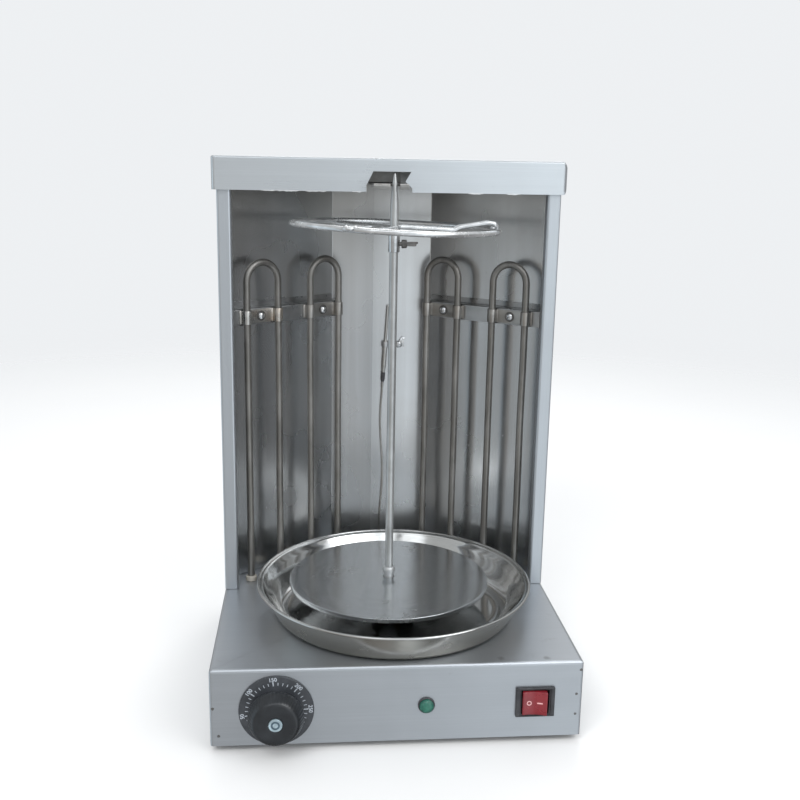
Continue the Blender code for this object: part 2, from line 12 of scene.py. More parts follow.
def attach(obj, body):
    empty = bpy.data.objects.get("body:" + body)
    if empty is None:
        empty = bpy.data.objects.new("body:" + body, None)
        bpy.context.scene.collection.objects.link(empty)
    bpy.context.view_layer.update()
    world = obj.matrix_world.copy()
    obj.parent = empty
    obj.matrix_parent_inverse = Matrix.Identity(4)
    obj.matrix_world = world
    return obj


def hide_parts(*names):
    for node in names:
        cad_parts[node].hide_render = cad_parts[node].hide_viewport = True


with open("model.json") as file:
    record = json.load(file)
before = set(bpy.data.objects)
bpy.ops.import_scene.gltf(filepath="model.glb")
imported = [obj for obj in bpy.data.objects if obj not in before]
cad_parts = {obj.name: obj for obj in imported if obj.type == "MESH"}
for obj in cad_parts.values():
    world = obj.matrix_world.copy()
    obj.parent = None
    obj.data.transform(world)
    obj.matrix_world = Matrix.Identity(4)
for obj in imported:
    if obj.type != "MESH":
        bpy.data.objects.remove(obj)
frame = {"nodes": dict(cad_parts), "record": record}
NODES = frame["nodes"]
BODY_OF = {n: b for b, ns in frame["record"]["behaviour"]["bodies"].items() for n in ns}
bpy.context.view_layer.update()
scene = bpy.context.scene

# ---- dimensions shared with the CAD (mm)
SHIFT_Y = -134.0
BASE_TOP = 71.6
AXIS_Y = 121.0
PAN_R, PAN_RIM_Z, PAN_CENTRE = 121.7, 99.6, (3.9, 113.0)
PLATE_R, PLATE_TOP = 89.1, 96.7
RING_R, RING_Z, ARM_WIRE, ARM_HALF = 87.8, 408.1, 1.6, 4.0
TUBE_R, PITCH, HEATER_TOP = 3.25, 34.3, 375.9
MID, DU, ANGLE = (85.0, 209.75), 35.9, radians(38.0)
CA, SA = cos(ANGLE), sin(ANGLE)
LEG = PITCH / 2
CLAMP_Z = 324.0
KNOB = (-97.5, 0.0, 36.3)
LAMP = (22.3, 0.0, 36.9)
SWITCH = (110.9, 0.0, 37.4)
ROCKER_TILT = radians(-7.0)
LINER_Y = 260.6
FRONT = (0, -1, 0)
HEATERS = [("left_outer", -1, 1), ("left_inner", -1, -1), ("right_inner", 1, -1), ("right_outer", 1, 1)]


def bank(side):
    return lambda u, v, w: Vector((side * (MID[0] + u * CA - v * SA), MID[1] - u * SA - v * CA, w))


def toward_spit(side):
    return Vector((-side * SA, -CA, 0))


# ---- node graph helper
class Graph:
    """One procedural material: a Principled shader whose inputs are fed by small noise graphs."""

    def __init__(self, name, **fixed):
        self.m = bpy.data.materials.new(name)
        self.m.use_nodes = True
        self.t = self.m.node_tree
        self.t.nodes.clear()
        out = self.t.nodes.new("ShaderNodeOutputMaterial")
        self.b = self.t.nodes.new("ShaderNodeBsdfPrincipled")
        self.t.links.new(self.b.outputs[0], out.inputs[0])
        self.out = out
        c = self.t.nodes.new("ShaderNodeTexCoord")
        self.pos, self.nrm = c.outputs["Object"], c.outputs["Normal"]
        for k, v in fixed.items():
            self.b.inputs[k.replace("_", " ")].default_value = v

    def put(self, socket, value):
        if hasattr(value, "links"):
            self.t.links.new(value, socket)
        elif isinstance(value, (tuple, list)) and len(value) == 3 and socket.type == "RGBA":
            socket.default_value = (*value, 1.0)
        else:
            socket.default_value = value

    def op(self, kind, a, b=0.0):
        n = self.t.nodes.new("ShaderNodeMath")
        n.operation = kind
        self.put(n.inputs[0], a)
        self.put(n.inputs[1], b)
        return n.outputs[0]

    def mul(self, a, b):
        return self.op("MULTIPLY", a, b)

    def add(self, a, b):
        return self.op("ADD", a, b)

    def sway(self, noise, amount):
        """A noise centred on zero, times an amount."""
        return self.mul(self.op("SUBTRACT", noise, 0.5), amount)

    def vec(self, kind, a, b=(0, 0, 0)):
        n = self.t.nodes.new("ShaderNodeVectorMath")
        n.operation = kind
        self.put(n.inputs[0], a)
        self.put(n.inputs[1], b)
        return n.outputs["Value"] if kind in ("LENGTH", "DOT_PRODUCT", "DISTANCE") else n.outputs[0]

    def scale(self, v, s):
        return self.vec("MULTIPLY", v, s)

    def split(self, v):
        n = self.t.nodes.new("ShaderNodeSeparateXYZ")
        self.put(n.inputs[0], v)
        return n.outputs

    def join(self, x, y=0.0, z=0.0):
        n = self.t.nodes.new("ShaderNodeCombineXYZ")
        for s, v in zip(n.inputs, (x, y, z)):
            self.put(s, v)
        return n.outputs[0]

    def noise(self, v, scale=1.0, detail=3.0, rough=0.55, distort=0.0):
        n = self.t.nodes.new("ShaderNodeTexNoise")
        self.put(n.inputs["Vector"], v)
        for k, x in (("Scale", scale), ("Detail", detail), ("Roughness", rough), ("Distortion", distort)):
            n.inputs[k].default_value = x
        return n.outputs["Fac"]

    def range(self, v, a, b, c=0.0, d=1.0):
        n = self.t.nodes.new("ShaderNodeMapRange")
        n.interpolation_type = "SMOOTHSTEP"
        self.put(n.inputs["Value"], v)
        for k, x in (("From Min", a), ("From Max", b), ("To Min", c), ("To Max", d)):
            n.inputs[k].default_value = x
        return n.outputs[0]

    def mix(self, f, a, b, kind="MIX"):
        n = self.t.nodes.new("ShaderNodeMix")
        n.data_type, n.blend_type = "RGBA", kind
        self.put(n.inputs["Factor"], f)
        self.put(n.inputs[6], a)
        self.put(n.inputs[7], b)
        return n.outputs[2]

    def mixv(self, f, a, b):
        n = self.t.nodes.new("ShaderNodeMix")
        n.data_type = "VECTOR"
        self.put(n.inputs[0], f)
        self.put(n.inputs[4], a)
        self.put(n.inputs[5], b)
        return n.outputs[1]

    def bump(self, height, distance, strength=1.0, below=None):
        n = self.t.nodes.new("ShaderNodeBump")
        n.inputs["Distance"].default_value = distance
        n.inputs["Strength"].default_value = strength
        self.put(n.inputs["Height"], height)
        if below is not None:
            self.put(n.inputs["Normal"], below)
        return n.outputs[0]

    def set(self, **kw):
        for k, v in kw.items():
            self.put(self.b.inputs[k.replace("_", " ")], v)
        return self.m


def ring_coord(g, centre):
    """(radius, angle, height) round a centre, for spun and turned surfaces."""
    x, y, z = g.split(g.pos)
    dx, dy = g.op("SUBTRACT", x, centre[0]), g.op("SUBTRACT", y, centre[1])
    r = g.op("SQRT", g.add(g.mul(dx, dx), g.mul(dy, dy)))
    return r, g.op("ARCTAN2", dy, dx), z


# ---- materials
def shade(colour, k):
    """A colour made darker or lighter, never past white."""
    return tuple(min(1.0, c * k) for c in colour)


def grain_vector(g, along, fine, slow):
    """Object position stretched along one axis; faces square to that axis take their grain from the next one."""
    far = {"X": (slow, fine, fine), "Y": (fine, slow, fine), "Z": (fine, fine, slow)}
    other = {"X": "Y", "Y": "X", "Z": "X"}[along]
    n = g.split(g.nrm)["XYZ".index(along)]
    mask = g.op("GREATER_THAN", g.op("ABSOLUTE", n), 0.7)
    return g.mixv(mask, g.scale(g.pos, far[along]), g.scale(g.pos, far[other]))


def sheet_steel(name, along, colour, rough, dirt=0.5, smudges=(), metallic=0.88):
    """Satin folded sheet: faint rolling lines, broad soft clouding and a few grey stains."""
    g = Graph(name, Metallic=metallic)
    fine = g.noise(grain_vector(g, along, 1100.0, 9.0), 1.0, 4.0, 0.6)
    wide = g.noise(grain_vector(g, along, 90.0, 3.0), 1.0, 3.0, 0.5)
    cloud = g.noise(g.pos, 9.0, 4.0, 0.55, 0.6)
    spot = g.noise(g.pos, 60.0, 4.0, 0.62)
    col = g.mix(g.range(fine, 0.25, 0.75), shade(colour, 0.965), shade(colour, 1.025))
    col = g.mix(g.mul(g.range(wide, 0.35, 0.7), 0.35), col, shade(colour, 0.93))
    col = g.mix(g.mul(g.range(cloud, 0.42, 0.72), 0.30), col, shade(colour, 0.86))
    stain = g.mul(g.range(spot, 0.62, 0.80), g.range(cloud, 0.48, 0.72))
    col = g.mix(g.mul(stain, dirt), col, (0.25, 0.245, 0.235))
    r = g.add(rough, g.sway(fine, 0.05))
    r = g.add(r, g.sway(cloud, 0.16))
    for centre, rad, amount in smudges:
        d = g.vec("DISTANCE", g.pos, centre)
        d = g.add(d, g.sway(spot, rad * 1.6))
        m = g.mul(g.range(d, rad, rad * 0.25), amount)
        col = g.mix(m, col, (0.15, 0.145, 0.14))
        r = g.add(r, g.mul(m, 0.2))
    soft = g.bump(cloud, 0.0016, 0.22)
    return g.set(Base_Color=col, Roughness=r, Normal=g.bump(fine, 0.000008, 0.35, soft))


def liner_steel(name, bright, rough):
    """Mirror-rolled liner sheet, gently rippled and flecked with old fat; towards the top it is darker and browner,
    partly heat browning and partly painted shade under the cap. bright scales the sheet's whole tone.
    """
    g = Graph(name, Metallic=1.0)
    fine = g.noise(grain_vector(g, "Z", 1200.0, 10.0), 1.0, 4.0, 0.6)
    streak = g.noise(grain_vector(g, "Z", 70.0, 2.0), 1.0, 3.0, 0.5)
    cloud = g.noise(g.pos, 9.0, 3.0, 0.5, 0.4)
    spot = g.noise(g.pos, 75.0, 4.0, 0.65)
    z = g.split(g.pos)[2]
    col = g.mix(g.range(streak, 0.3, 0.7), shade((0.53, 0.54, 0.55), bright), shade((0.60, 0.615, 0.63), bright))
    col = g.mix(g.mul(g.range(cloud, 0.35, 0.7), 0.30), col, (0.50, 0.48, 0.455))
    # Painted shade: darker and browner towards the top for the shade under the cap's overhang, mixed with real heat
    # browning.
    heat = g.mul(g.range(z, 0.33, 0.45), g.range(cloud, 0.1, 0.6, 0.5, 1.0))
    col = g.mix(g.mul(heat, 0.72), col, (0.34, 0.325, 0.30))
    fleck = g.range(spot, 0.68, 0.80)
    col = g.mix(g.mul(fleck, 0.35), col, (0.26, 0.24, 0.21))
    r = g.add(rough, g.sway(streak, 0.05))
    r = g.add(r, g.mul(g.range(cloud, 0.4, 0.75), 0.09))
    soft = g.bump(g.noise(g.scale(g.pos, (1, 1, 0.3)), 10.0, 2.0, 0.4), 0.003, 0.12)
    return g.set(Base_Color=col, Roughness=r, Normal=g.bump(fine, 0.000008, 0.4, soft))


def spun_steel(name, colour, rough, lines, stain=0.4, wave_and_underside_shade=0.0, radial=0.0, centre=(0.0, -0.013)):
    """Steel polished or turned in a lathe: fine rings round its centre. The wave amount also ripples the surface and
    paints shade, darker and browner, on faces that look down.
    """
    g = Graph(name, Metallic=1.0)
    r, a, z = ring_coord(g, centre)
    rings = g.noise(g.join(g.mul(g.add(r, g.mul(z, 0.9)), 1700.0), g.mul(a, 2.0), 0.0), 1.0, 4.0, 0.6)
    broad = g.noise(g.join(g.mul(g.add(r, z), 190.0), g.mul(a, 0.8), 0.0), 1.0, 3.0, 0.55)
    cloud = g.noise(g.pos, 16.0, 4.0, 0.6, 0.7)
    spot = g.noise(g.pos, 85.0, 3.0, 0.6)
    col = g.mix(g.range(rings, 0.25, 0.75), shade(colour, 0.84), shade(colour, 1.08))
    mask = g.mul(g.range(cloud, 0.48, 0.72), g.range(spot, 0.35, 0.7))
    col = g.mix(g.mul(mask, stain), col, (0.30, 0.265, 0.22))
    rr = g.add(rough, g.sway(broad, 0.10))
    rr = g.add(rr, g.mul(mask, 0.16))
    nrm = g.bump(rings, 0.000012, lines)
    if radial:
        spokes = g.noise(g.join(g.mul(a, 60.0), g.mul(r, 30.0), 0.0), 1.0, 3.0, 0.6)
        rr = g.add(rr, g.sway(spokes, radial))
    if wave_and_underside_shade:
        nrm = g.bump(cloud, wave_and_underside_shade, 0.3, nrm)
        # Painted shade: faces that look down are made darker and browner, and a little rougher.
        underside_painted_shade = g.range(g.split(g.nrm)[2], -0.12, -0.30)
        col = g.mix(underside_painted_shade, col, (0.455, 0.44, 0.405))
        rr = g.add(rr, g.mul(underside_painted_shade, 0.08))
    return g.set(Base_Color=col, Roughness=g.op("MAXIMUM", rr, 0.03), Normal=nrm)


def small_steel(name, colour, rough, browning=0.0, brown=(0.26, 0.19, 0.13), scale=120.0, metallic=1.0, bump=0.00006):
    """Small metal parts: fine mottling, uneven gloss and patches of brown."""
    g = Graph(name, Metallic=metallic)
    a = g.noise(g.pos, scale, 4.0, 0.6, 0.3)
    b = g.noise(g.pos, scale * 6, 3.0, 0.6)
    col = g.mix(g.range(a, 0.3, 0.7), shade(colour, 0.80), shade(colour, 1.12))
    if browning:
        col = g.mix(g.mul(g.range(g.noise(g.pos, scale * 0.45, 4.0, 0.65), 0.42, 0.66), browning), col, brown)
    r = g.add(rough, g.sway(a, 0.2))
    r = g.add(r, g.sway(b, 0.12))
    return g.set(Base_Color=col, Roughness=g.op("MAXIMUM", r, 0.05), Normal=g.bump(b, bump, 0.5))


def sheath(name):
    """Heater tube: browned and greyed by heat, slightly sooty, with drawn lines along its length."""
    g = Graph(name, Metallic=0.85)
    x, y, z = g.split(g.pos)
    a = g.noise(g.scale(g.pos, (60, 60, 14)), 1.0, 4.0, 0.6, 0.4)
    b = g.noise(g.scale(g.pos, (900, 900, 60)), 1.0, 3.0, 0.6)
    bands = g.noise(g.scale(g.pos, (8, 8, 26)), 1.0, 3.0, 0.5, 0.8)
    col = g.mix(g.range(a, 0.32, 0.68), (0.175, 0.168, 0.157), (0.300, 0.290, 0.275))
    col = g.mix(g.mul(g.range(bands, 0.45, 0.7), 0.35), col, (0.20, 0.182, 0.16))
    col = g.mix(g.mul(g.range(z, 0.12, 0.075), 0.6), col, (0.42, 0.41, 0.39))
    col = g.mix(g.mul(g.range(b, 0.55, 0.75), 0.35), col, (0.40, 0.37, 0.33))
    r = g.add(0.40, g.sway(a, 0.22))
    return g.set(Base_Color=col, Roughness=r, Normal=g.bump(b, 0.00008, 0.6))


def plastic(name, colour, rough, grain=0.00006, dust=0.0, coat=0.0, worn=(0.16, 0.16, 0.165)):
    """Moulded plastic, enamel, rubber or ceramic: fine grain with dusty, paler patches."""
    g = Graph(name, Metallic=0.0, Coat_Weight=coat, Coat_Roughness=0.12)
    a = g.noise(g.pos, 900.0, 3.0, 0.6)
    c = g.noise(g.pos, 55.0, 4.0, 0.6, 0.3)
    col = g.mix(g.range(c, 0.3, 0.7), shade(colour, 0.82), shade(colour, 1.15))
    if dust:
        col = g.mix(g.mul(g.range(c, 0.42, 0.75), dust), col, worn)
    r = g.add(rough, g.sway(c, 0.2))
    return g.set(Base_Color=col, Roughness=r, Normal=g.bump(a, grain, 0.5))


def lens_green(name):
    """Cloudy green lamp lens, a little deeper in colour towards its rim."""
    g = Graph(name, Metallic=0.0, Coat_Weight=0.25, Coat_Roughness=0.25, IOR=1.49, Transmission_Weight=0.25)
    r = g.vec("DISTANCE", g.pos, (LAMP[0] / 1000, (LAMP[1] + SHIFT_Y) / 1000 - 0.003, LAMP[2] / 1000))
    c = g.noise(g.pos, 420.0, 3.0, 0.5)
    col = g.mix(g.range(r, 0.0015, 0.006), (0.022, 0.165, 0.115), (0.012, 0.110, 0.080))
    col = g.mix(g.mul(g.range(c, 0.4, 0.7), 0.3), col, (0.05, 0.30, 0.20))
    return g.set(Base_Color=col, Roughness=g.add(0.32, g.mul(c, 0.12)))


LOOK = {
    "base": sheet_steel("base_satin", "X", (0.485, 0.51, 0.54), 0.36, 0.5,
                        (((0.0835, -0.125, 0.0716), 0.0055, 0.55), ((0.1208, -0.1265, 0.0716), 0.0045, 0.45))),
    "casing": sheet_steel("casing_satin", "Z", (0.51, 0.54, 0.57), 0.36, 0.35),
    "cap": sheet_steel("cap_satin", "X", (0.58, 0.61, 0.635), 0.30, 0.3),
    "fork": small_steel("fork_dull", (0.30, 0.295, 0.285), 0.34, 0.25, (0.20, 0.18, 0.16), 90.0),
    # The two liner sheets are one steel; the right one is painted lighter (1.27 against 1.04) for the light that
    # falls on that side.
    "liner": liner_steel("liner_left_rolled", 1.04, 0.245),
    "liner_painted_lighter": liner_steel("liner_right_rolled_painted_lighter", 1.27, 0.235),
    # The pan's wave of 0.0004 also paints shade on its outer wall, which looks down.
    "pan": spun_steel("pan_polished", (0.60, 0.60, 0.59), 0.10, 0.05, 0.22, 0.0004,
                      centre=(PAN_CENTRE[0] / 1000, (PAN_CENTRE[1] + SHIFT_Y) / 1000)),
    "plate": spun_steel("plate_turned", (0.56, 0.58, 0.595), 0.20, 0.25, 0.2, 0.0, 0.04),
    "rod": small_steel("spindle_steel", (0.52, 0.53, 0.53), 0.40, 0.10, (0.44, 0.43, 0.41), 30.0, 0.9, 0.00001),
    "hub": small_steel("hub_satin", (0.50, 0.51, 0.515), 0.46, 0.10, (0.44, 0.43, 0.41), 60.0, 0.8, 0.00002),
    "ring": small_steel("crown_steel", (0.70, 0.71, 0.715), 0.25, 0.10, (0.56, 0.54, 0.51), 60.0, 0.85, 0.00002),
    "bright": small_steel("bright_steel", (0.64, 0.65, 0.66), 0.22, 0.12, (0.38, 0.35, 0.32), 150.0),
    "screw": small_steel("screw_steel", (0.70, 0.71, 0.72), 0.20, 0.2, (0.34, 0.30, 0.26), 300.0),
    "dark_screw": small_steel("dark_steel", (0.16, 0.155, 0.15), 0.42, 0.4, (0.10, 0.085, 0.07), 260.0, 0.8),
    "zinc": small_steel("zinc_sheet", (0.46, 0.47, 0.48), 0.38, 0.35, (0.34, 0.31, 0.28), 70.0),
    "bar": small_steel("bar_steel", (0.46, 0.465, 0.47), 0.30, 0.3, (0.30, 0.28, 0.26), 30.0, 1.0, 0.00001),
    "weld": small_steel("weld_mark", (0.24, 0.235, 0.23), 0.5, 0.4, (0.16, 0.14, 0.12), 500.0),
    "clamp_clean": small_steel("clamp_less_heated", (0.60, 0.585, 0.555), 0.30, 0.55, (0.46, 0.33, 0.22), 60.0, 1.0,
                               0.00001),
    "clamp": small_steel("clamp_heated", (0.40, 0.385, 0.365), 0.34, 0.5, (0.30, 0.25, 0.20), 60.0, 1.0, 0.00001),
    "sheath": sheath("heater_sheath"),
    "tube": small_steel("sensor_steel", (0.46, 0.455, 0.44), 0.32, 0.35, (0.30, 0.27, 0.23), 120.0),
    "bronze": small_steel("sintered_bronze", (0.46, 0.34, 0.20), 0.42, 0.5, (0.22, 0.15, 0.09), 500.0),
    "ceramic": plastic("bead_ceramic", (0.56, 0.53, 0.47), 0.6, 0.0001, 0.5, 0.0, (0.40, 0.35, 0.29)),
    "knob": plastic("knob_black", (0.013, 0.015, 0.018), 0.30, 0.00002, 0.3, 0.0, (0.032, 0.037, 0.042)),
    "dial": plastic("dial_enamel", (0.036, 0.040, 0.047), 0.42, 0.00003, 0.5, 0.0, (0.075, 0.082, 0.092)),
    "print": plastic("dial_print", (0.44, 0.48, 0.53), 0.5, 0.00002, 0.3, 0.0, (0.34, 0.37, 0.41)),
    "black": plastic("switch_black", (0.026, 0.026, 0.030), 0.38, 0.00004, 0.3, 0.0),
    "red": plastic("rocker_red", (0.185, 0.009, 0.016), 0.26, 0.00002, 0.2, 0.4, (0.24, 0.035, 0.04)),
    "mark": plastic("switch_marks", (0.72, 0.42, 0.42), 0.45, 0.00001, 0.2, 0.0, (0.60, 0.30, 0.30)),
    "silver": small_steel("knob_disc_silver", (0.50, 0.62, 0.68), 0.34, 0.2, (0.34, 0.44, 0.50), 300.0, 0.8),
    "disc_dark": small_steel("knob_disc_grey", (0.10, 0.15, 0.19), 0.4, 0.2, (0.06, 0.09, 0.11), 300.0, 0.6),
    "rubber": plastic("foot_rubber", (0.022, 0.022, 0.022), 0.75, 0.00012, 0.5, 0.0, (0.06, 0.058, 0.055)),
    "lens": lens_green("lamp_lens_green"),
}


# ---- mesh helpers (drawing millimetres)
def mesh_of(name, bm):
    """A mesh with the bmesh's faces; the bmesh is freed."""
    me = bpy.data.meshes.new(name)
    bm.to_mesh(me)
    bm.free()
    return me


def linked(name, data):
    """A new object in the scene."""
    ob = bpy.data.objects.new(name, data)
    scene.collection.objects.link(ob)
    return ob


def turned(profile, n, origin=(0, 0, 0), direction=(0, 0, 1), shape=None):
    """Solid of revolution of (radius, height) points; shape(r, h, angle) may change the radius."""
    bm = bmesh.new()
    rot = Vector((0, 0, 1)).rotation_difference(Vector(direction).normalized()).to_matrix()
    o = Vector(origin)
    rings = []
    for r, h in profile:
        if r <= 1e-6:
            rings.append([bm.verts.new(o + rot @ Vector((0, 0, h)))])
            continue
        ring = []
        for i in range(n):
            a = 2 * pi * i / n
            q = shape(r, h, a) if shape else r
            ring.append(bm.verts.new(o + rot @ Vector((q * cos(a), q * sin(a), h))))
        rings.append(ring)
    pairs = list(zip(rings, rings[1:]))
    if len(rings[0]) > 1:
        pairs.append((rings[-1], rings[0]))
    for a, b in pairs:
        for i in range(n):
            j = (i + 1) % n
            if len(a) == 1 and len(b) == 1:
                continue
            if len(a) == 1:
                bm.faces.new((a[0], b[j], b[i]))
            elif len(b) == 1:
                bm.faces.new((a[i], a[j], b[0]))
            else:
                bm.faces.new((a[i], a[j], b[j], b[i]))
    return bm


def arc(cx, cy, r, a0, a1, n):
    return [(cx + r * cos(radians(a0 + (a1 - a0) * i / n)),
             cy + r * sin(radians(a0 + (a1 - a0) * i / n))) for i in range(n + 1)]


def strip(line, thick, lo, hi, place):
    """Sheet of one thickness following a plan line, between lo and hi; place maps (u, v, w)."""
    bm = bmesh.new()
    pts = [Vector(p) for p in line]
    cols = []
    for i, p in enumerate(pts):
        a = (pts[i] - pts[i - 1]).normalized() if i else None
        b = (pts[i + 1] - pts[i]).normalized() if i + 1 < len(pts) else None
        t = (a + b).normalized() if a and b else (a or b)
        nrm = Vector((-t.y, t.x)) * (thick / 2 / max(0.3, t.dot(b or a)))
        cols.append([bm.verts.new(place(q.x, q.y, w)) for q in (p + nrm, p - nrm) for w in (lo, hi)])
    for a, b in zip(cols, cols[1:]):
        for i, j in ((0, 1), (1, 3), (3, 2), (2, 0)):
            bm.faces.new((a[i], a[j], b[j], b[i]))
    for c in (cols[0], cols[-1]):
        bm.faces.new((c[0], c[1], c[3], c[2]))
    return bm


def wire(pts, r, n, closed=False):
    """Round wire of radius r along points, with flat ends unless it is closed."""
    bm = bmesh.new()
    pts = [Vector(p) for p in pts]
    m = len(pts)
    tang = []
    for i in range(m):
        a = pts[i - 1] if (i or closed) else pts[i]
        b = pts[(i + 1) % m] if (i + 1 < m or closed) else pts[i]
        tang.append((b - a).normalized())
    up = Vector((0, 0, 1)) if abs(tang[0].z) < 0.9 else Vector((1, 0, 0))
    nrm = (up - tang[0] * up.dot(tang[0])).normalized()
    rings = []
    for i in range(m):
        if i:
            nrm = (nrm - tang[i] * nrm.dot(tang[i])).normalized()
        bi = tang[i].cross(nrm)
        rings.append([bm.verts.new(pts[i] + (nrm * cos(2 * pi * k / n) + bi * sin(2 * pi * k / n)) * r)
                      for k in range(n)])
    pairs = list(zip(rings, rings[1:])) + ([(rings[-1], rings[0])] if closed else [])
    for a, b in pairs:
        for k in range(n):
            bm.faces.new((a[k], a[(k + 1) % n], b[(k + 1) % n], b[k]))
    if not closed:
        for ring in (rings[0], rings[-1]):
            bm.faces.new(ring)
    return bm


def block(x0, x1, y0, y1, z0, z1, bevel=0.0, seg=3):
    bm = bmesh.new()
    bmesh.ops.create_cube(bm, size=1.0)
    for v in bm.verts:
        v.co = Vector(((x0 + x1) / 2 + v.co.x * (x1 - x0), (y0 + y1) / 2 + v.co.y * (y1 - y0),
                       (z0 + z1) / 2 + v.co.z * (z1 - z0)))
    if bevel:
        bmesh.ops.bevel(bm, geom=list(bm.edges), offset=bevel, segments=seg, profile=0.5, affect="EDGES")
    return bm


def prism(pts, lo, hi, place):
    bm = bmesh.new()
    low = [bm.verts.new(place(x, y, lo)) for x, y in pts]
    top = [bm.verts.new(place(x, y, hi)) for x, y in pts]
    bm.faces.new(low)
    bm.faces.new(top)
    for i in range(len(pts)):
        j = (i + 1) % len(pts)
        bm.faces.new((low[i], low[j], top[j], top[i]))
    return bm


def soften(bm, width, seg=2, angle=35.0, spare=False):
    """Small round on every sharp edge; spare leaves the rims of small round holes in big faces alone."""
    bmesh.ops.recalc_face_normals(bm, faces=bm.faces)
    sharp = [e for e in bm.edges if len(e.link_faces) == 2 and e.calc_face_angle(0) > radians(angle)
             and not (spare and e.calc_length() < 4.0 and max(f.calc_area() for f in e.link_faces) > 400.0)]
    bmesh.ops.bevel(bm, geom=sharp, offset=width, segments=seg, profile=0.5, affect="EDGES", clamp_overlap=True)
    return bm


def merged(*parts):
    out = bmesh.new()
    for p in parts:
        me = mesh_of("part", p)
        out.from_mesh(me)
        bpy.data.meshes.remove(me)
    return out


def piece(name, bm, look, body, nodes=(), angle=32.0, metres=False):
    """Make a shown piece from a mesh, give it its material, and let it ride on its body."""
    bmesh.ops.recalc_face_normals(bm, faces=bm.faces)
    if not metres:
        for v in bm.verts:
            v.co = Vector((v.co.x, v.co.y + SHIFT_Y, v.co.z)) * 0.001
    me = mesh_of(name, bm)
    me.shade_smooth()
    me.set_sharp_from_angle(angle=radians(angle))
    ob = linked(name, me)
    me.materials.append(LOOK[look])
    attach(ob, body)
    if nodes:
        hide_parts(*nodes)
    return ob


def even_normals(me, angle, big=4e-5, flat=1e-5):
    """Flat faces keep their own normal to the very edge, the small rounds beside them blend into it, and slivers
    left by a cut take the normal of the face they lie in."""
    limit = cos(radians(angle))
    faces_at = [[] for _ in me.vertices]
    axes = [Vector(a) for a in ((1, 0, 0), (-1, 0, 0), (0, 1, 0), (0, -1, 0), (0, 0, 1), (0, 0, -1))]
    own = []
    for p in me.polygons:
        own.append(next((a for a in axes if a.dot(p.normal) > 0.9995), p.normal.copy()))
        for v in p.vertices:
            faces_at[v].append(p)
    out = []
    for p in me.polygons:
        host = None
        if p.area < big:
            near = {q.index: q for v in p.vertices for q in faces_at[v] if q.area >= big}
            for q in near.values():
                if all(abs((me.vertices[v].co - q.center).dot(q.normal)) < flat for v in p.vertices):
                    host = own[q.index]
        for v in p.vertices:
            n = host or own[p.index]
            if p.area < big and host is None:
                n = Vector((0, 0, 0))
                for q in faces_at[v]:
                    if q.normal.dot(p.normal) > limit:
                        n += own[q.index] * (q.area ** 2 * (1e6 if q.area >= big else 1.0) + 1e-14)
                n.normalize()
            out.append(tuple(n))
    me.normals_split_custom_set(out)


def refined(node, look, bevel=0.25, seg=2, name=None, angle=32.0, sharp=50.0, shape=None):
    """A finer stand-in for a CAD node: the same faces, welded, with its sharp edges rounded a little."""
    bm = bmesh.new()
    bm.from_mesh(NODES[node].data)
    for v in bm.verts:
        v.co = v.co * 1000.0
    bmesh.ops.remove_doubles(bm, verts=bm.verts, dist=0.004)
    bmesh.ops.dissolve_limit(bm, angle_limit=radians(1.0), verts=bm.verts, edges=bm.edges)
    if shape:
        shape(bm)
    if bevel:
        soften(bm, bevel, seg, sharp, True)
    for v in bm.verts:
        v.co = v.co * 0.001
    ob = piece(name or node + "_fine", bm, look, BODY_OF[node], (node,), angle, metres=True)
    even_normals(ob.data, angle)
    return ob


def keep(node, look):
    """A CAD node that is shown as it is, with a better material."""
    me = NODES[node].data
    me.materials.clear()
    me.materials.append(LOOK[look])


def apply_mesh(ob):
    """The object's mesh with its modifiers applied, as a new bmesh, and the object removed."""
    bpy.context.view_layer.update()
    dg = bpy.context.evaluated_depsgraph_get()
    ev = ob.evaluated_get(dg)
    bm = bmesh.new()
    bm.from_mesh(ev.to_mesh())
    ev.to_mesh_clear()
    bpy.data.objects.remove(ob)
    return bm


def cut(bm, tools):
    """Boolean difference of small tool meshes, in drawing millimetres."""
    obs = []
    for i, b in enumerate([bm] + list(tools)):
        bmesh.ops.recalc_face_normals(b, faces=b.faces)
        obs.append(linked("work_%d" % i, mesh_of("work", b)))
    for t in obs[1:]:
        m = obs[0].modifiers.new("cut", "BOOLEAN")
        m.operation, m.solver, m.object = "DIFFERENCE", "EXACT", t
    out = apply_mesh(obs[0])
    for t in obs[1:]:
        bpy.data.objects.remove(t)
    return out


def moved(bm, matrix):
    bmesh.ops.transform(bm, matrix=matrix, verts=bm.verts)
    return bm


def aim(origin, direction, spin=0.0):
    """Matrix that carries +Z onto a direction at an origin."""
    rot = Vector((0, 0, 1)).rotation_difference(Vector(direction).normalized()).to_matrix().to_4x4()
    return Matrix.Translation(Vector(origin)) @ rot @ Matrix.Rotation(radians(spin), 4, "Z")


def screw_head(r, h, slot_depth, shank=0.2, n=32):
    """Pan-head cross-recess screw standing on z = 0."""
    prof = [(0, -shank), (r * 0.43, -shank), (r * 0.43, -0.05), (r * 0.97, -0.05), (r, 0.12)]
    rise = [radians(d) for d in (12, 24, 36, 48, 60, 72, 82)]
    prof += [(r * cos(t), 0.12 + (h - 0.12) * sin(t)) for t in rise]
    prof += [(0, h)]
    head = turned(prof, n)
    w, l = r * 0.115, r * 0.52
    arms = [block(-l, l, -w, w, h - slot_depth, h + 1), block(-w, w, -l, l, h - slot_depth, h + 1)]
    for a in arms:
        for v in a.verts:
            if v.co.z < h:
                v.co.x *= 0.62
                v.co.y *= 0.62
    return cut(head, arms)


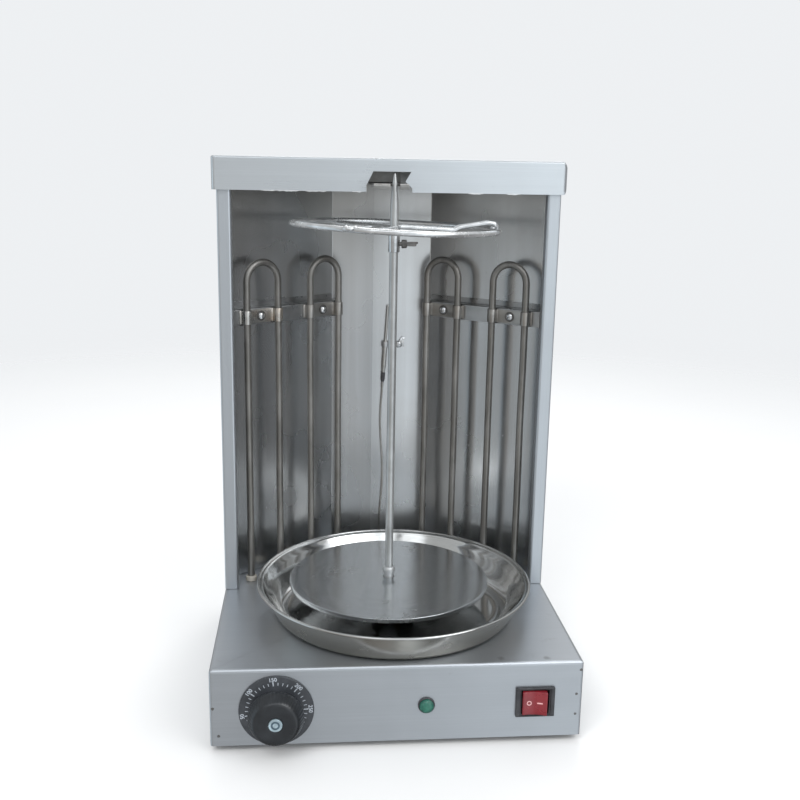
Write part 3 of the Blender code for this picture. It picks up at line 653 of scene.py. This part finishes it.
# ---- sheet-metal shell
def bent_corner(bm):
    """The cap's right-hand end is knocked round: the top corner all along, the lower corner at the front."""
    top, low = (148.6, 460.0), (150.1, 440.3)
    for co, no in (((top[0], 0, 0), (1, 0, 0)), ((0, 0, top[1]), (0, 0, 1)), ((low[0], 0, 0), (1, 0, 0)),
                   ((0, 0, low[1]), (0, 0, 1))):
        bmesh.ops.bisect_plane(bm, geom=bm.verts[:] + bm.edges[:] + bm.faces[:], plane_co=co, plane_no=no)
    for v in bm.verts:
        near = max(0.0, min(1.0, (165.0 + SHIFT_Y - v.co.y) / 10.0))
        for (cx, cz), way, share in ((top, 1, 1.0), (low, -1, near)):
            d = Vector((v.co.x - cx, (v.co.z - cz) * way))
            if d.x > 1e-4 and d.y > 1e-4:
                k = 1.0 + (max(d.x, d.y) / d.length - 1.0) * share
                v.co.x, v.co.z = cx + d.x * k, cz + d.y * k * way


refined("base_housing", "base", 0.3, 2, "base_shell")
refined("rear_casing", "casing", 0.25, 2, "casing_shell")
refined("top_cap", "cap", 0.3, 2, "cap_shell", shape=bent_corner)
refined("liner_left", "liner", 0.12, 1, "liner_left_sheet")
# The right liner sheet takes the copy of the liner steel that is painted lighter.
refined("liner_right", "liner_painted_lighter", 0.12, 1, "liner_right_sheet")
refined("spindle_fork", "fork", 0.3, 2, "fork_plate")
keep("base_bottom", "zinc")


def spot_welds():
    """Small uneven weld marks near the folded ends of the base front."""
    rng = random.Random(7)
    marks = []
    for x, z in ((147.6, 64.4), (145.2, 42.8), (145.0, 25.0), (-143.4, 14.8), (-147.6, 38.6)):
        r = 0.85 + rng.random() * 0.35
        k, lean = rng.random() * 6.28, 0.10 + rng.random() * 0.14
        prof = [(0, -0.06), (r + 0.25, -0.06), (r + 0.25, 0.02), (r, 0.11), (r - 0.25, 0.09), (r - 0.4, 0.02),
                (0, 0.03)]
        marks.append(turned(prof, 24, (x, 0, z), FRONT, lambda q, h,
                            a: q * (1 + lean * cos(a + k) + 0.09 * cos(3 * a + 2 * k))))
    piece("base_spot_welds", merged(*marks), "weld", "base")


spot_welds()


def body_screws():
    """Pan-head screws that hold the casing's back and the base's rear, and the sides just above the base top."""
    heads = []
    for x, z in [(-140, 82), (140, 82), (-140, 250), (140, 250), (-60, 82), (60, 82)]:
        heads.append(moved(screw_head(3.2, 1.8, 1.1), aim((x, 279.4, z), (0, 1, 0), 17 * x)))
    for x, z in [(-138, 58), (138, 58), (0, 60)]:
        heads.append(moved(screw_head(3.2, 1.8, 1.1), aim((x, 280.0, z), (0, 1, 0), 11 * x)))
    for s in (-1, 1):
        for y in (176, 262):
            heads.append(moved(screw_head(2.9, 1.5, 0.9), aim((s * 149.8, y, 84), (s, 0, 0), 23 * y)))
    piece("casing_screws", merged(*heads), "screw", "base")


body_screws()


def cap_burrs_painted_highlight():
    """Uneven burr along the cap's lower front edge, made in the brighter crown steel rather than the cap's own: a
    painted highlight.
    """
    rng = random.Random(3)
    parts = []
    for x0, x1 in ((-112.0, -78.0), (-74.0, -56.0), (-34.0, -26.0), (66.0, 80.0), (100.0, 112.0)):
        n = int((x1 - x0) / 2.0)
        low = [(x0 + (x1 - x0) * i / n, 436.75 - (rng.random() * 0.75 if 0 < i < n else 0.0)) for i in range(n + 1)]
        parts.append(prism(low + [(x1, 437.3), (x0, 437.3)], 151.35, 151.75, lambda x, z, y: Vector((x, y, z))))
    piece("cap_burrs_painted_highlight", merged(*parts), "ring", "base")


cap_burrs_painted_highlight()


# ---- heaters
def heater_tubes():
    top = HEATER_TOP - TUBE_R - LEG
    for k, (tag, side, io) in enumerate(HEATERS):
        place = bank(side)
        u = io * DU
        legs = [60.0 + (top - 60.0) * i / 40 for i in range(40)]
        pts = [(u - LEG, h) for h in legs]
        pts += [(u - LEG * cos(pi * i / 28), top + LEG * sin(pi * i / 28)) for i in range(29)]
        pts += [(u + LEG, h) for h in reversed(legs)]
        line = []
        for i, (a, h) in enumerate(pts):
            free = max(0.0, min(1.0, (h - 80) / 120.0)) * (1.0 - exp(-((h - CLAMP_Z) / 30.0) ** 2))
            s = mnoise.noise(Vector((h * 0.011, k * 7.3, 1.0 if a > u else 5.0)))
            t = mnoise.noise(Vector((h * 0.009, k * 3.1 + 40, 2.0 if a > u else 9.0)))
            line.append(place(a + 0.5 * s * free, 0.45 * t * free, h))
        piece("heater_tube_%s" % tag, wire(line, TUBE_R, 20), "sheath", "base", ("heater_%s" % tag,))
        for e, kk in ((1, "a"), (-1, "b")):
            p = place(u + e * LEG, 0, BASE_TOP)
            prof = [(3.45, 4.9), (4.4, 4.9), (4.9, 4.6), (5.2, 4.0), (5.2, 2.6), (4.95, 2.4), (4.95, 2.1), (5.2, 1.9),
                    (5.2, 0.3),
                    (4.3, 0.3), (4.3, -4), (3.45, -4)]
            piece("bead_%s_%s" % (tag, kk), turned(prof, 32, p), "ceramic", "base",
                  ("insulator_%s_%s" % (tag, kk),))


heater_tubes()


def clamps():
    rc = TUBE_R + 0.7
    mid = -2.85
    half = [(0.0, mid), (LEG - rc - 0.6, mid), (LEG - rc, mid + 0.5)] + arc(LEG, 0, rc, 172, 8, 16)
    half += [(LEG + rc, mid + 0.5), (LEG + rc + 0.5, mid), (LEG + rc + 2.2, mid)]
    line = [(-a, b) for a, b in reversed(half[1:])] + half
    for tag, side, io in HEATERS:
        place = bank(side)
        u0 = io * DU
        bm = strip(line, 0.8, CLAMP_Z - 6.1, CLAMP_Z + 6.1, lambda u, v, w: place(u0 + u, v, w))
        piece("clamp_strap_%s" % tag, soften(bm, 0.2, 2), "clamp_clean" if tag == "left_outer" else "clamp", "base",
              ("clamp_%s" % tag,))
        q = place(u0, mid + 0.4, CLAMP_Z)
        washer = turned([(2.0, 0.0), (4.6, 0.0), (4.75, 0.25), (4.6, 0.5), (2.0, 0.5)], 32)
        piece("clamp_washer_%s" % tag, moved(washer, aim(q, toward_spit(side))), "dark_screw", "base")
        head = screw_head(3.7, 2.75, 1.3, 5.4)
        piece("clamp_head_%s" % tag, moved(head, aim(q, toward_spit(side), 31 * u0)), "screw", "base",
              ("clamp_screw_%s" % tag,))
    for s in ("left", "right"):
        refined("support_bar_%s" % s, "bar", 0.2, 2, "bar_%s" % s)


clamps()


# ---- sensor
def sensor():
    y = LINER_Y - 3.0
    a, b = Vector((6.2, y, 325.4)), Vector((1.5, y, 241.0))
    d, length = (b - a).normalized(), (b - a).length
    prof = [(0, 0), (0.8, 0.2), (1.15, 1.2), (1.25, 4), (1.3, 33), (1.7, 35.5), (2.15, 38), (2.4, 41), (2.4, 61),
            (2.25, 63.5), (1.7, 67),
            (1.55, 69), (1.5, 76), (1.15, 78), (1.1, length - 0.3), (0, length)]
    piece("sensor_tube", turned(prof, 28, a, d), "tube", "base", ("sensor_bulb",))
    sleeve = [(1.45, 67.6), (1.9, 67.8), (2.05, 68.6), (2.0, 74.5), (1.75, 76.6), (1.3, 77.4)]
    piece("sensor_sleeve", turned(sleeve, 28, a, d), "black", "base")
    yf, r, cx = LINER_Y - 1.0, 3.25, 4.0
    line = [(cx + r * cos(t), y - r * sin(t)) for t in [pi * (1.06 - i * 1.06 / 18) for i in range(19)]]
    line += [(cx + r + 0.4, yf), (23.0, yf)]
    piece("sensor_strap", soften(strip(line, 0.8, 283.4, 288.8, lambda u, v, w: Vector((u, v, w))), 0.2, 2), "bar",
          "base",
          ("bulb_clip",))
    at = aim((19.0, yf - 2.2, 288.2), (-0.15, -1, 0.35), 0) @ Matrix.Rotation(radians(52), 4, "Z")
    tab = moved(block(-0.9, 6.2, -1.6, 1.6, -0.35, 0.35, 0.2, 2), at)
    piece("sensor_tab", tab, "screw", "base")
    head = screw_head(3.6, 2.8, 1.3, 1.0)
    piece("sensor_screw", moved(head, aim((17.6, yf - 0.4, 286), FRONT, 24)), "screw", "base",
          ("bulb_clip_screw",))
    keep("capillary", "tube")


sensor()


# ---- spit
def spit():
    o, tip = (0, AXIS_Y, 0), 452.8
    prof = [(0, tip), (0.45, tip - 0.2), (0.8, tip - 1.0), (1.4, tip - 4.2), (2.5, tip - 12), (3.1, tip - 20),
            (3.5, tip - 27), (3.6, tip - 30),
            (3.6, 93.4), (0, 93.4)]
    piece("spit_rod", turned(prof, 40, o), "rod", "spit", ("spindle",), 40)
    hub = [(0, 92.9), (3.75, 93.0), (3.75, 106.7), (4.5, 106.4), (5.2, 105.5), (5.7, 104.0), (5.6, 102.4),
           (4.9, 101.0), (4.5, 99.5), (4.4, 98.0),
           (4.4, 94.8), (7.6, 94.8), (8.0, 94.4), (8.0, 77.9), (7.6, 77.5), (0, 77.5)]
    piece("spit_boss", turned(hub, 48, o), "hub", "spit", ("spindle_hub",))
    t = PLATE_TOP
    prof = [(r, t) for r in (5.2, 12, 30, 50, 70, 82)]
    prof += [(88.2, t), (88.7, t - 0.04), (89.0, t - 0.18), (PLATE_R, t - 0.45), (PLATE_R, t - 3.5),
             (PLATE_R - 0.4, t - 3.75),
             (PLATE_R - 0.8, t - 3.5), (PLATE_R - 0.9, t - 1.7), (87.6, t - 1.4), (85.0, t - 1.4), (5.2, t - 1.4)]
    piece("meat_disc", turned(prof, 160, o), "plate", "spit", ("meat_plate",), 50)


spit()


def pan():
    o = (PAN_CENTRE[0], PAN_CENTRE[1], 0)
    r, z, b = PAN_R, PAN_RIM_Z, BASE_TOP + 0.3
    lip = [(r - 4.6, z - 1.7), (r - 3.6, z - 1.15), (r - 2.4, z - 0.9)]
    lip += arc(r - 1.2, z - 1.2, 1.2, 150, -100, 12) + [(r - 2.4, z - 2.1), (r - 4.0, z - 2.5), (r - 4.9, z - 3.1)]
    outer = [(r - 5.6, z - 4.4), (114.6, b + 20.0), (112.2, b + 15.0), (109.9, b + 10.0), (108.2, b + 6.4),
             (107.0, b + 3.9), (106.0, b + 2.1), (104.6, b + 0.8), (102.6, b + 0.05),
             (100, b), (60, b), (25.2, b), (23.9, b + 0.8), (23.2, b + 2.4), (23.2, 80.1), (23.4, 80.5)]
    inner = [(23.8, 80.5), (24.0, 80.1), (24.1, b + 2.8), (24.5, b + 1.5), (25.6, b + 0.8), (60, b + 0.8),
             (88, b + 0.9), (92.5, b + 1.4), (96.5, b + 2.5), (99.8, b + 4.1), (102.6, b + 6.2),
             (105.2, b + 9.0), (107.6, b + 12.3), (110.2, b + 16.2), (113.2, b + 20.6), (r - 6.3, z - 4.6),
             (r - 5.5, z - 2.8)]
    piece("drip_tray", turned(lip + outer + inner, 224, o), "pan", "pan", ("drip_pan",), 60)


pan()


def level(points, s):
    """Height at s on a line through (s, height) points."""
    for (a, h), (b, k) in zip(points, points[1:]):
        if s <= b:
            return h + (k - h) * max(0.0, (s - a) / (b - a))
    return points[-1][1]


def crown():
    n = 192

    reach, side_shift, raised, lean = RING_R - 1.7, 1.2, 1.3, 0.028

    def hoop(a):
        """Point of the slightly bent and tilted ring at an angle."""
        sag = 0.28 * sin(2 * a + 0.8) + 0.18 * sin(3 * a + 2.0)
        r = reach + 0.35 * sin(2 * a + 1.0)
        return Vector((side_shift + r * cos(a), AXIS_Y + r * sin(a), RING_Z + raised - lean * r * cos(a) + sag))
    parts = [wire([hoop(2 * pi * i / n) for i in range(n)], 2.3, 16, closed=True)]
    arms = ((2.0, 83.4, [(4, 1.5), (50, -0.8), (51.5, -0.5), (54.5, 1.2), (56, 1.7), (80, 5.6), (84, 5.0),
                         (88, 1.8)]),
            (122.0, 80.2, [(4, 0.0), (90, 0.2)]),
            (242.0, 86.0, [(4, 0.0), (50, 0.0), (51.5, 0.3), (55, 2.6), (57, 3.1), (90, 3.4)]))
    for deg, far, heights in arms:
        a = radians(deg)
        side = [(4.6 + (50 - 4.6) * i / 8, ARM_HALF) for i in range(9)]
        side += [(s, ARM_HALF) for s in (51.5, 52.7, 54, 55.5, 57, 58.5, 62, 68, 74, 79)]
        end = [(far + ARM_HALF * sin(pi * i / 14), ARM_HALF * cos(pi * i / 14)) for i in range(15)]
        path = side + end + [(s, -t) for s, t in reversed(side)]
        pts = [(s * cos(a) - t * sin(a), AXIS_Y + s * sin(a) + t * cos(a), RING_Z + level(heights, s)) for s,
               t in path]
        parts.append(wire(pts, ARM_WIRE + 0.25, 12))
        for t in (-ARM_HALF, ARM_HALF):
            q = hoop(a + asin(t / RING_R))
            if far < 84:
                s = 83.9
                q = Vector((s * cos(a) - t * 0.4 * sin(a), AXIS_Y + s * sin(a) + t * 0.4 * cos(a), RING_Z + 1.2))
            else:
                q.z = max(q.z + 1.5, RING_Z + level(heights, 87) - 0.9)
            bead = bmesh.new()
            bmesh.ops.create_icosphere(bead, subdivisions=3, radius=1.0)
            for v in bead.verts:
                k = 1.0 + 0.12 * mnoise.noise(v.co * 2.2 + Vector((deg, t, 0)))
                v.co = Vector((v.co.x * 2.2 * k, v.co.y * 2.2 * k, v.co.z * 1.5 * k)) + q
            parts.append(bead)
    piece("crown_wire", merged(*parts), "ring", "crown", ("crown_ring",), 60)
    c = (0, AXIS_Y, RING_Z)
    prof = [(3.75, 1.9), (4.4, 1.9), (4.75, 1.75), (4.9, 1.4), (4.9, -19.4), (4.75, -19.75), (4.4, -19.9),
            (3.75, -19.9)]
    hole = turned([(0, -3), (1.95, -3), (1.95, 3), (0, 3)], 24, (5, AXIS_Y, 395.1), (1, 0, 0))
    piece("crown_sleeve", cut(turned(prof, 40, c), [hole]), "bright", "crown", ("crown_collar",))


crown()
refined("crown_screw", "dark_screw", 0.35, 2, "wing_screw_body")


# ---- controls
def text_mesh(body, size, depth):
    cu = bpy.data.curves.new("numeral", "FONT")
    cu.body, cu.size, cu.extrude, cu.resolution_u, cu.offset = body, size, depth, 3, 0.10
    cu.align_x, cu.align_y = "CENTER", "CENTER"
    return apply_mesh(linked("numeral", cu))


def dial():
    k = Vector(KNOB)
    prof = [(4.6, 0.3), (29.5, 0.3), (29.8, 0.6), (29.8, 1.25), (29.5, 1.55), (29.0, 1.7), (4.6, 1.7)]
    piece("dial_disc", turned(prof, 128, k, FRONT), "dial", "base", ("dial_plate",))
    marks = []

    def on_dial(bm, ang, radius, spin):
        """Move a flat mark (x right, y up on the dial) to an angle on the scale."""
        a = radians(ang)
        m = Matrix.Translation((k.x + radius * cos(a), k.y - 1.72, k.z + radius * sin(a)))
        return moved(bm, m @ Matrix.Rotation(radians(90), 4, "X") @ Matrix.Rotation(spin, 4, "Z"))

    start, step = 188.5, 9.3
    for i in range(-1, 27):
        ang = start + step - step * i
        if ang < -28:
            break
        half, wide = (1.75, 0.42) if i % 5 == 1 else (1.2, 0.3)
        marks.append(on_dial(block(-half, half, -wide, wide, -0.03, 0.03, 0.02, 1), ang, 23.4, radians(ang)))
    for j, word in enumerate(("50", "100", "150", "200", "250")):
        ang = start - 5 * step * j
        marks.append(on_dial(text_mesh(word, 4.5, 0.03), ang, 27.0, radians(ang - 90)))
    piece("dial_scale", merged(*marks), "print", "base")
    flutes = 44
    prof = [(3.1, 2.3), (14.2, 2.3), (15.2, 2.6), (16.0, 4.2), (17.2, 7.4), (19.4, 9.2), (21.2, 9.9), (22.0, 10.5),
            (22.3, 11.5), (22.3, 12.6), (22.0, 13.5),
            (21.4, 15.0), (20.6, 17.2), (19.6, 19.6), (18.6, 21.3), (17.6, 22.3), (16.6, 22.8), (15.6, 23.0),
            (11.0, 22.7), (7.2, 22.5), (6.1, 22.6), (5.8, 22.4),
            (5.8, 21.6), (3.1, 21.6)]

    def fluted(r, h, a):
        if 11.0 < h < 22.0 and r > 17:
            t = 1.0 - abs((h - 16.5) / 5.6) ** 3
            return r - 0.24 * max(0.0, t) * (0.5 - 0.5 * cos(flutes * a)) ** 1.5
        return r
    piece("knob_body", turned(prof, flutes * 8, k, FRONT, fluted), "knob", "knob", ("knob",), 48)
    cap = [(0, 21.9), (5.5, 21.9), (5.5, 23.0), (5.3, 23.35), (4.9, 23.5), (4.5, 23.35), (4.2, 23.30), (0, 23.38)]
    piece("knob_disc", turned(cap, 48, k, FRONT), "silver", "knob", ("knob_cap",))
    ring = [(2.1, 23.28), (3.5, 23.28), (3.5, 23.44), (2.1, 23.44)]
    piece("knob_disc_ring", turned(ring, 40, k, FRONT), "disc_dark", "knob")


dial()
keep("thermostat_shaft", "bright")
keep("thermostat", "zinc")


def lamp():
    p = LAMP
    prof = [(0, -24), (4.4, -24), (4.9, -23.5), (4.9, 0.3), (6.7, 0.3), (6.9, 0.55), (6.85, 1.0), (6.7, 1.4),
            (6.4, 1.6), (6.1, 1.55), (6.0, 1.0), (0, 1.0)]
    piece("lamp_bezel", turned(prof, 64, p, FRONT), "black", "base", ("lamp_body",))
    facets = 24

    def ribbed(r, h, a):
        if h > 2.7 and r > 0.5:
            return r * (1.0 - 0.035 * (0.5 - 0.5 * cos(facets * a)))
        return r
    prof = [(0, 1.3), (5.8, 1.3), (5.8, 2.5), (5.65, 3.1), (5.2, 3.8), (4.4, 4.35), (3.6, 4.75), (2.6, 5.05),
            (1.8, 5.2), (0.9, 5.28), (0, 5.3)]
    piece("lamp_dome", turned(prof, facets * 6, p, FRONT, ribbed), "lens", "base", ("lamp_lens",), 60)


lamp()


def switch():
    x, _, z = SWITCH
    frame_bm = block(x - 15.95, x + 15.95, -2.4, -0.3, z - 12.85, z + 12.85, 0.7, 3)
    inner = block(x - 11.35, x + 11.35, -8, 9, z - 10.45, z + 10.45)
    step = block(x - 12.6, x + 12.6, -8, -1.7, z - 11.5, z + 11.5)
    body = block(x - 14.2, x + 14.2, -1.2, 20, z - 10.8, z + 10.8, 0.3, 1)
    piece("switch_frame", soften(cut(frame_bm, [inner, step]), 0.15, 2, 60), "black", "base",
          ("switch_body",))
    piece("switch_well", cut(body, [block(x - 11.3, x + 11.3, -8, 9, z - 10.4, z + 10.4)]), "black", "base")
    face = [(-10.0, -5.4), (-9.3, -5.5), (-7.5, -4.95), (-5.0, -4.35), (-2.5, -4.0), (0, -3.9), (2.5, -4.0),
            (5.0, -4.35), (7.5, -4.95), (9.3, -5.5), (10.0, -5.4),
            (9.9, 1.0), (3.0, 7.0), (-3.0, 7.0), (-9.9, 1.0)]
    tilt = Matrix.Rotation(ROCKER_TILT, 2)

    def onto(a, b):
        q = tilt @ Vector((a, b - 3.0))
        return (x + q.x, 3.0 + q.y)
    pts = [onto(a, b) for a, b in face]
    bm = prism(pts, z - 10.0, z + 10.0, lambda a, b, w: Vector((a, b, w)))
    piece("rocker_key", soften(bm, 0.45, 3, 40), "red", "rocker", ("rocker",), 40)

    def stamp(bm, a, b, turn):
        """Lay a flat mark on the rocker's face at offset a, standing just proud of it."""
        qx, qy = onto(a, b)
        spin = Matrix.Rotation(ROCKER_TILT + radians(turn), 4, "Z") @ Matrix.Rotation(radians(90), 4, "X")
        return moved(bm, Matrix.Translation((qx, qy, z + 0.4)) @ spin)
    o_mark = turned([(1.3, -0.2), (2.0, -0.2), (2.0, 0.16), (1.3, 0.16)], 36)
    i_mark = block(-2.3, 2.3, -0.5, 0.5, -0.2, 0.16, 0.05, 1)
    piece("rocker_marks", merged(stamp(o_mark, -4.6, -4.30, 8.0), stamp(i_mark, 4.0, -4.22, -7.0)), "mark", "rocker")


switch()


# ---- rear, feet and drive
def rear_parts():
    g = (100, 280.0, 30)
    prof = [(3.5, -8), (8.0, -8), (8.0, 0.3), (11.0, 0.3), (11.5, 0.8), (11.5, 3.9), (11.0, 4.3), (9.4, 4.7)]
    for i in range(4):
        h = 5.0 + i * 1.4
        prof += [(9.0, h), (9.0, h + 0.6), (8.3, h + 0.8), (8.3, h + 1.2)]
    prof += [(7.9, 10.9), (7.4, 11.5), (4.2, 11.5), (3.5, 10.9)]
    piece("gland_nut", turned(prof, 64, g, (0, 1, 0)), "black", "base", ("cable_gland",))
    for k, x in (("left", -125), ("right", 125)):
        for j, y in (("front", 26), ("rear", 254)):
            prof = [(0, 6.2), (9.0, 6.2), (9.5, 5.8), (9.5, 5.2), (9.1, 4.0), (8.9, 3.0), (9.0, 2.6), (8.2, 0.6),
                    (7.9, 0.15), (7.5, 0), (3.9, 0), (3.6, 0.3), (3.6, 2.6), (0, 2.6)]
            n = "foot_%s_%s" % (j, k)
            piece("pad_%s_%s" % (j, k), turned(prof, 48, (x, y, 0)), "rubber", "base", (n,))
    keep("gear_motor", "zinc")
    keep("motor_bracket", "zinc")
    keep("drive_bush", "bronze")
    keep("drive_shaft", "bright")


rear_parts()


# ---- floor, light and camera (metres)
FLOOR_R, DOME_R = 2.6, 4.0
LAMPS = (("key", (-0.9, -1.6, 1.9), 1.1, 27), ("fill", (1.3, -1.3, 1.5), 1.4, 14), ("back", (0.2, 1.3, 1.9), 1.0, 12))
LAMP_TARGET = Vector((0, 0, 0.22))
CAMERA_AT, CAMERA_YAW_PITCH_ROLL, LENS = (-0.0685, -0.8506, 0.4545), (5.185, 12.985, 1.035), 44.616


def stage():
    bm = bmesh.new()
    bmesh.ops.create_circle(bm, cap_ends=True, segments=96, radius=FLOOR_R)
    floor = linked("floor", mesh_of("floor", bm))
    g = Graph("pale_floor", Roughness=0.6)
    d = g.vec("LENGTH", g.pos)
    mist = g.noise(g.pos, 3.0, 2.0, 0.5)
    g.set(Base_Color=g.mix(mist, (0.80, 0.80, 0.80), (0.84, 0.84, 0.835)))
    clear = g.t.nodes.new("ShaderNodeBsdfTransparent")
    mixer = g.t.nodes.new("ShaderNodeMixShader")
    g.put(mixer.inputs[0], g.range(d, 0.75, 2.2))
    g.t.links.new(g.b.outputs[0], mixer.inputs[1])
    g.t.links.new(clear.outputs[0], mixer.inputs[2])
    g.t.links.new(mixer.outputs[0], g.out.inputs[0])
    floor.data.materials.append(g.m)
    floor.visible_glossy = False

    world = bpy.data.worlds.new("studio")
    scene.world = world
    world.use_nodes = True
    bg = world.node_tree.nodes["Background"]
    bg.inputs[0].default_value = (0.90, 0.92, 0.94, 1)
    bg.inputs[1].default_value = 0.95

    bm = bmesh.new()
    bmesh.ops.create_uvsphere(bm, u_segments=64, v_segments=32, radius=DOME_R)
    dome = linked("soft_dome", mesh_of("soft_dome", bm))
    dome.visible_camera = dome.visible_diffuse = dome.visible_shadow = dome.visible_transmission = False
    dome.visible_volume_scatter = False
    g = Graph("dome_light")
    dirn = g.vec("NORMALIZE", g.pos)
    x, y, z = g.split(dirn)
    around = g.add(g.op("DIVIDE", g.op("ARCTAN2", x, g.mul(y, -1.0)), 2 * pi), 0.5)

    def ramp(value, stops):
        n = g.t.nodes.new("ShaderNodeValToRGB")
        n.color_ramp.interpolation = "EASE"
        el = n.color_ramp.elements
        while len(el) < len(stops):
            el.new(1.0)
        for e, (at, colour) in zip(el, stops):
            e.position, e.color = at, (*(colour if isinstance(colour, tuple) else (colour,) * 3), 1.0)
        g.put(n.inputs[0], value)
        return n.outputs[0]

    by_bearing = ((-180, 0.50), (-118, 0.42), (-103, (0.88, 1.02, 1.12)), (-71, (0.92, 1.07, 1.18)),
                  (-66, (0.40, 0.39, 0.37)), (-50, (0.50, 0.49, 0.47)), (-22, 0.72), (0, (0.69, 0.715, 0.73)),
                  (14, (1.35, 1.44, 1.50)), (32, (1.45, 1.55, 1.62)), (48, (0.95, 1.02, 1.08)), (63, 0.26),
                  (80, 0.14), (98, 0.38), (180, 0.50))
    walls = ramp(around, [(deg / 360.0 + 0.5, colour) for deg, colour in by_bearing])
    by_height = ((0.0, 0.50), (0.16, 0.52), (0.26, 0.78), (0.31, 0.79), (0.40, 0.80), (0.45, 0.56), (0.475, 0.62),
                 (0.505, 1.0), (0.57, 0.95), (1.0, 0.8))
    height = ramp(g.add(g.mul(z, 0.5), 0.5), by_height)
    level_light = g.mix(1.0, walls, height, "MULTIPLY")

    def patch(deg, up, width, colour):
        """Soft round light at a bearing and a height angle."""
        a, e = radians(deg), radians(up)
        dot = g.vec("DOT_PRODUCT", dirn, (sin(a) * cos(e), -cos(a) * cos(e), sin(e)))
        f = g.range(dot, cos(radians(width)), cos(radians(width * 0.6)))
        return g.mix(f, (0.0, 0.0, 0.0), colour)
    over = g.mix(1.0, (0.60, 0.62, 0.63), patch(-16, 50, 19, (1.1, 1.15, 1.2)), "ADD")
    for deg, width in ((22, 16), (42, 18), (60, 16)):
        over = g.mix(1.0, over, patch(deg, 50, width, (0.9, 0.95, 1.0)), "ADD")
    glow = g.mix(g.range(z, 0.18, 0.52), level_light, over)
    em = g.t.nodes.new("ShaderNodeEmission")
    g.put(em.inputs["Color"], glow)
    em.inputs["Strength"].default_value = 1.0
    g.t.links.new(em.outputs[0], g.out.inputs[0])
    dome.data.materials.append(g.m)

    for name, loc, size, watts in LAMPS:
        light = bpy.data.lights.new(name, "AREA")
        light.shape, light.size, light.energy = "SQUARE", size, watts
        ob = linked(name, light)
        ob.location = loc
        ob.visible_glossy = name != "key"
        ob.rotation_euler = (LAMP_TARGET - Vector(loc)).to_track_quat("-Z", "Y").to_euler()

    scene.view_settings.view_transform = "Standard"
    scene.view_settings.look = "None"

    yaw, pitch, roll = (radians(a) for a in CAMERA_YAW_PITCH_ROLL)
    fwd = Vector((sin(yaw) * cos(pitch), cos(yaw) * cos(pitch), -sin(pitch)))
    r = fwd.cross(Vector((0, 0, 1))).normalized()
    u = r.cross(fwd)
    right = cos(roll) * r + sin(roll) * u
    up = -sin(roll) * r + cos(roll) * u
    cam = bpy.data.cameras.new("camera")
    cam.sensor_width, cam.lens = 36.0, LENS
    ob = linked("camera", cam)
    m = Matrix((right, up, -fwd)).transposed().to_4x4()
    m.translation = CAMERA_AT
    ob.matrix_world = m
    scene.camera = ob


stage()
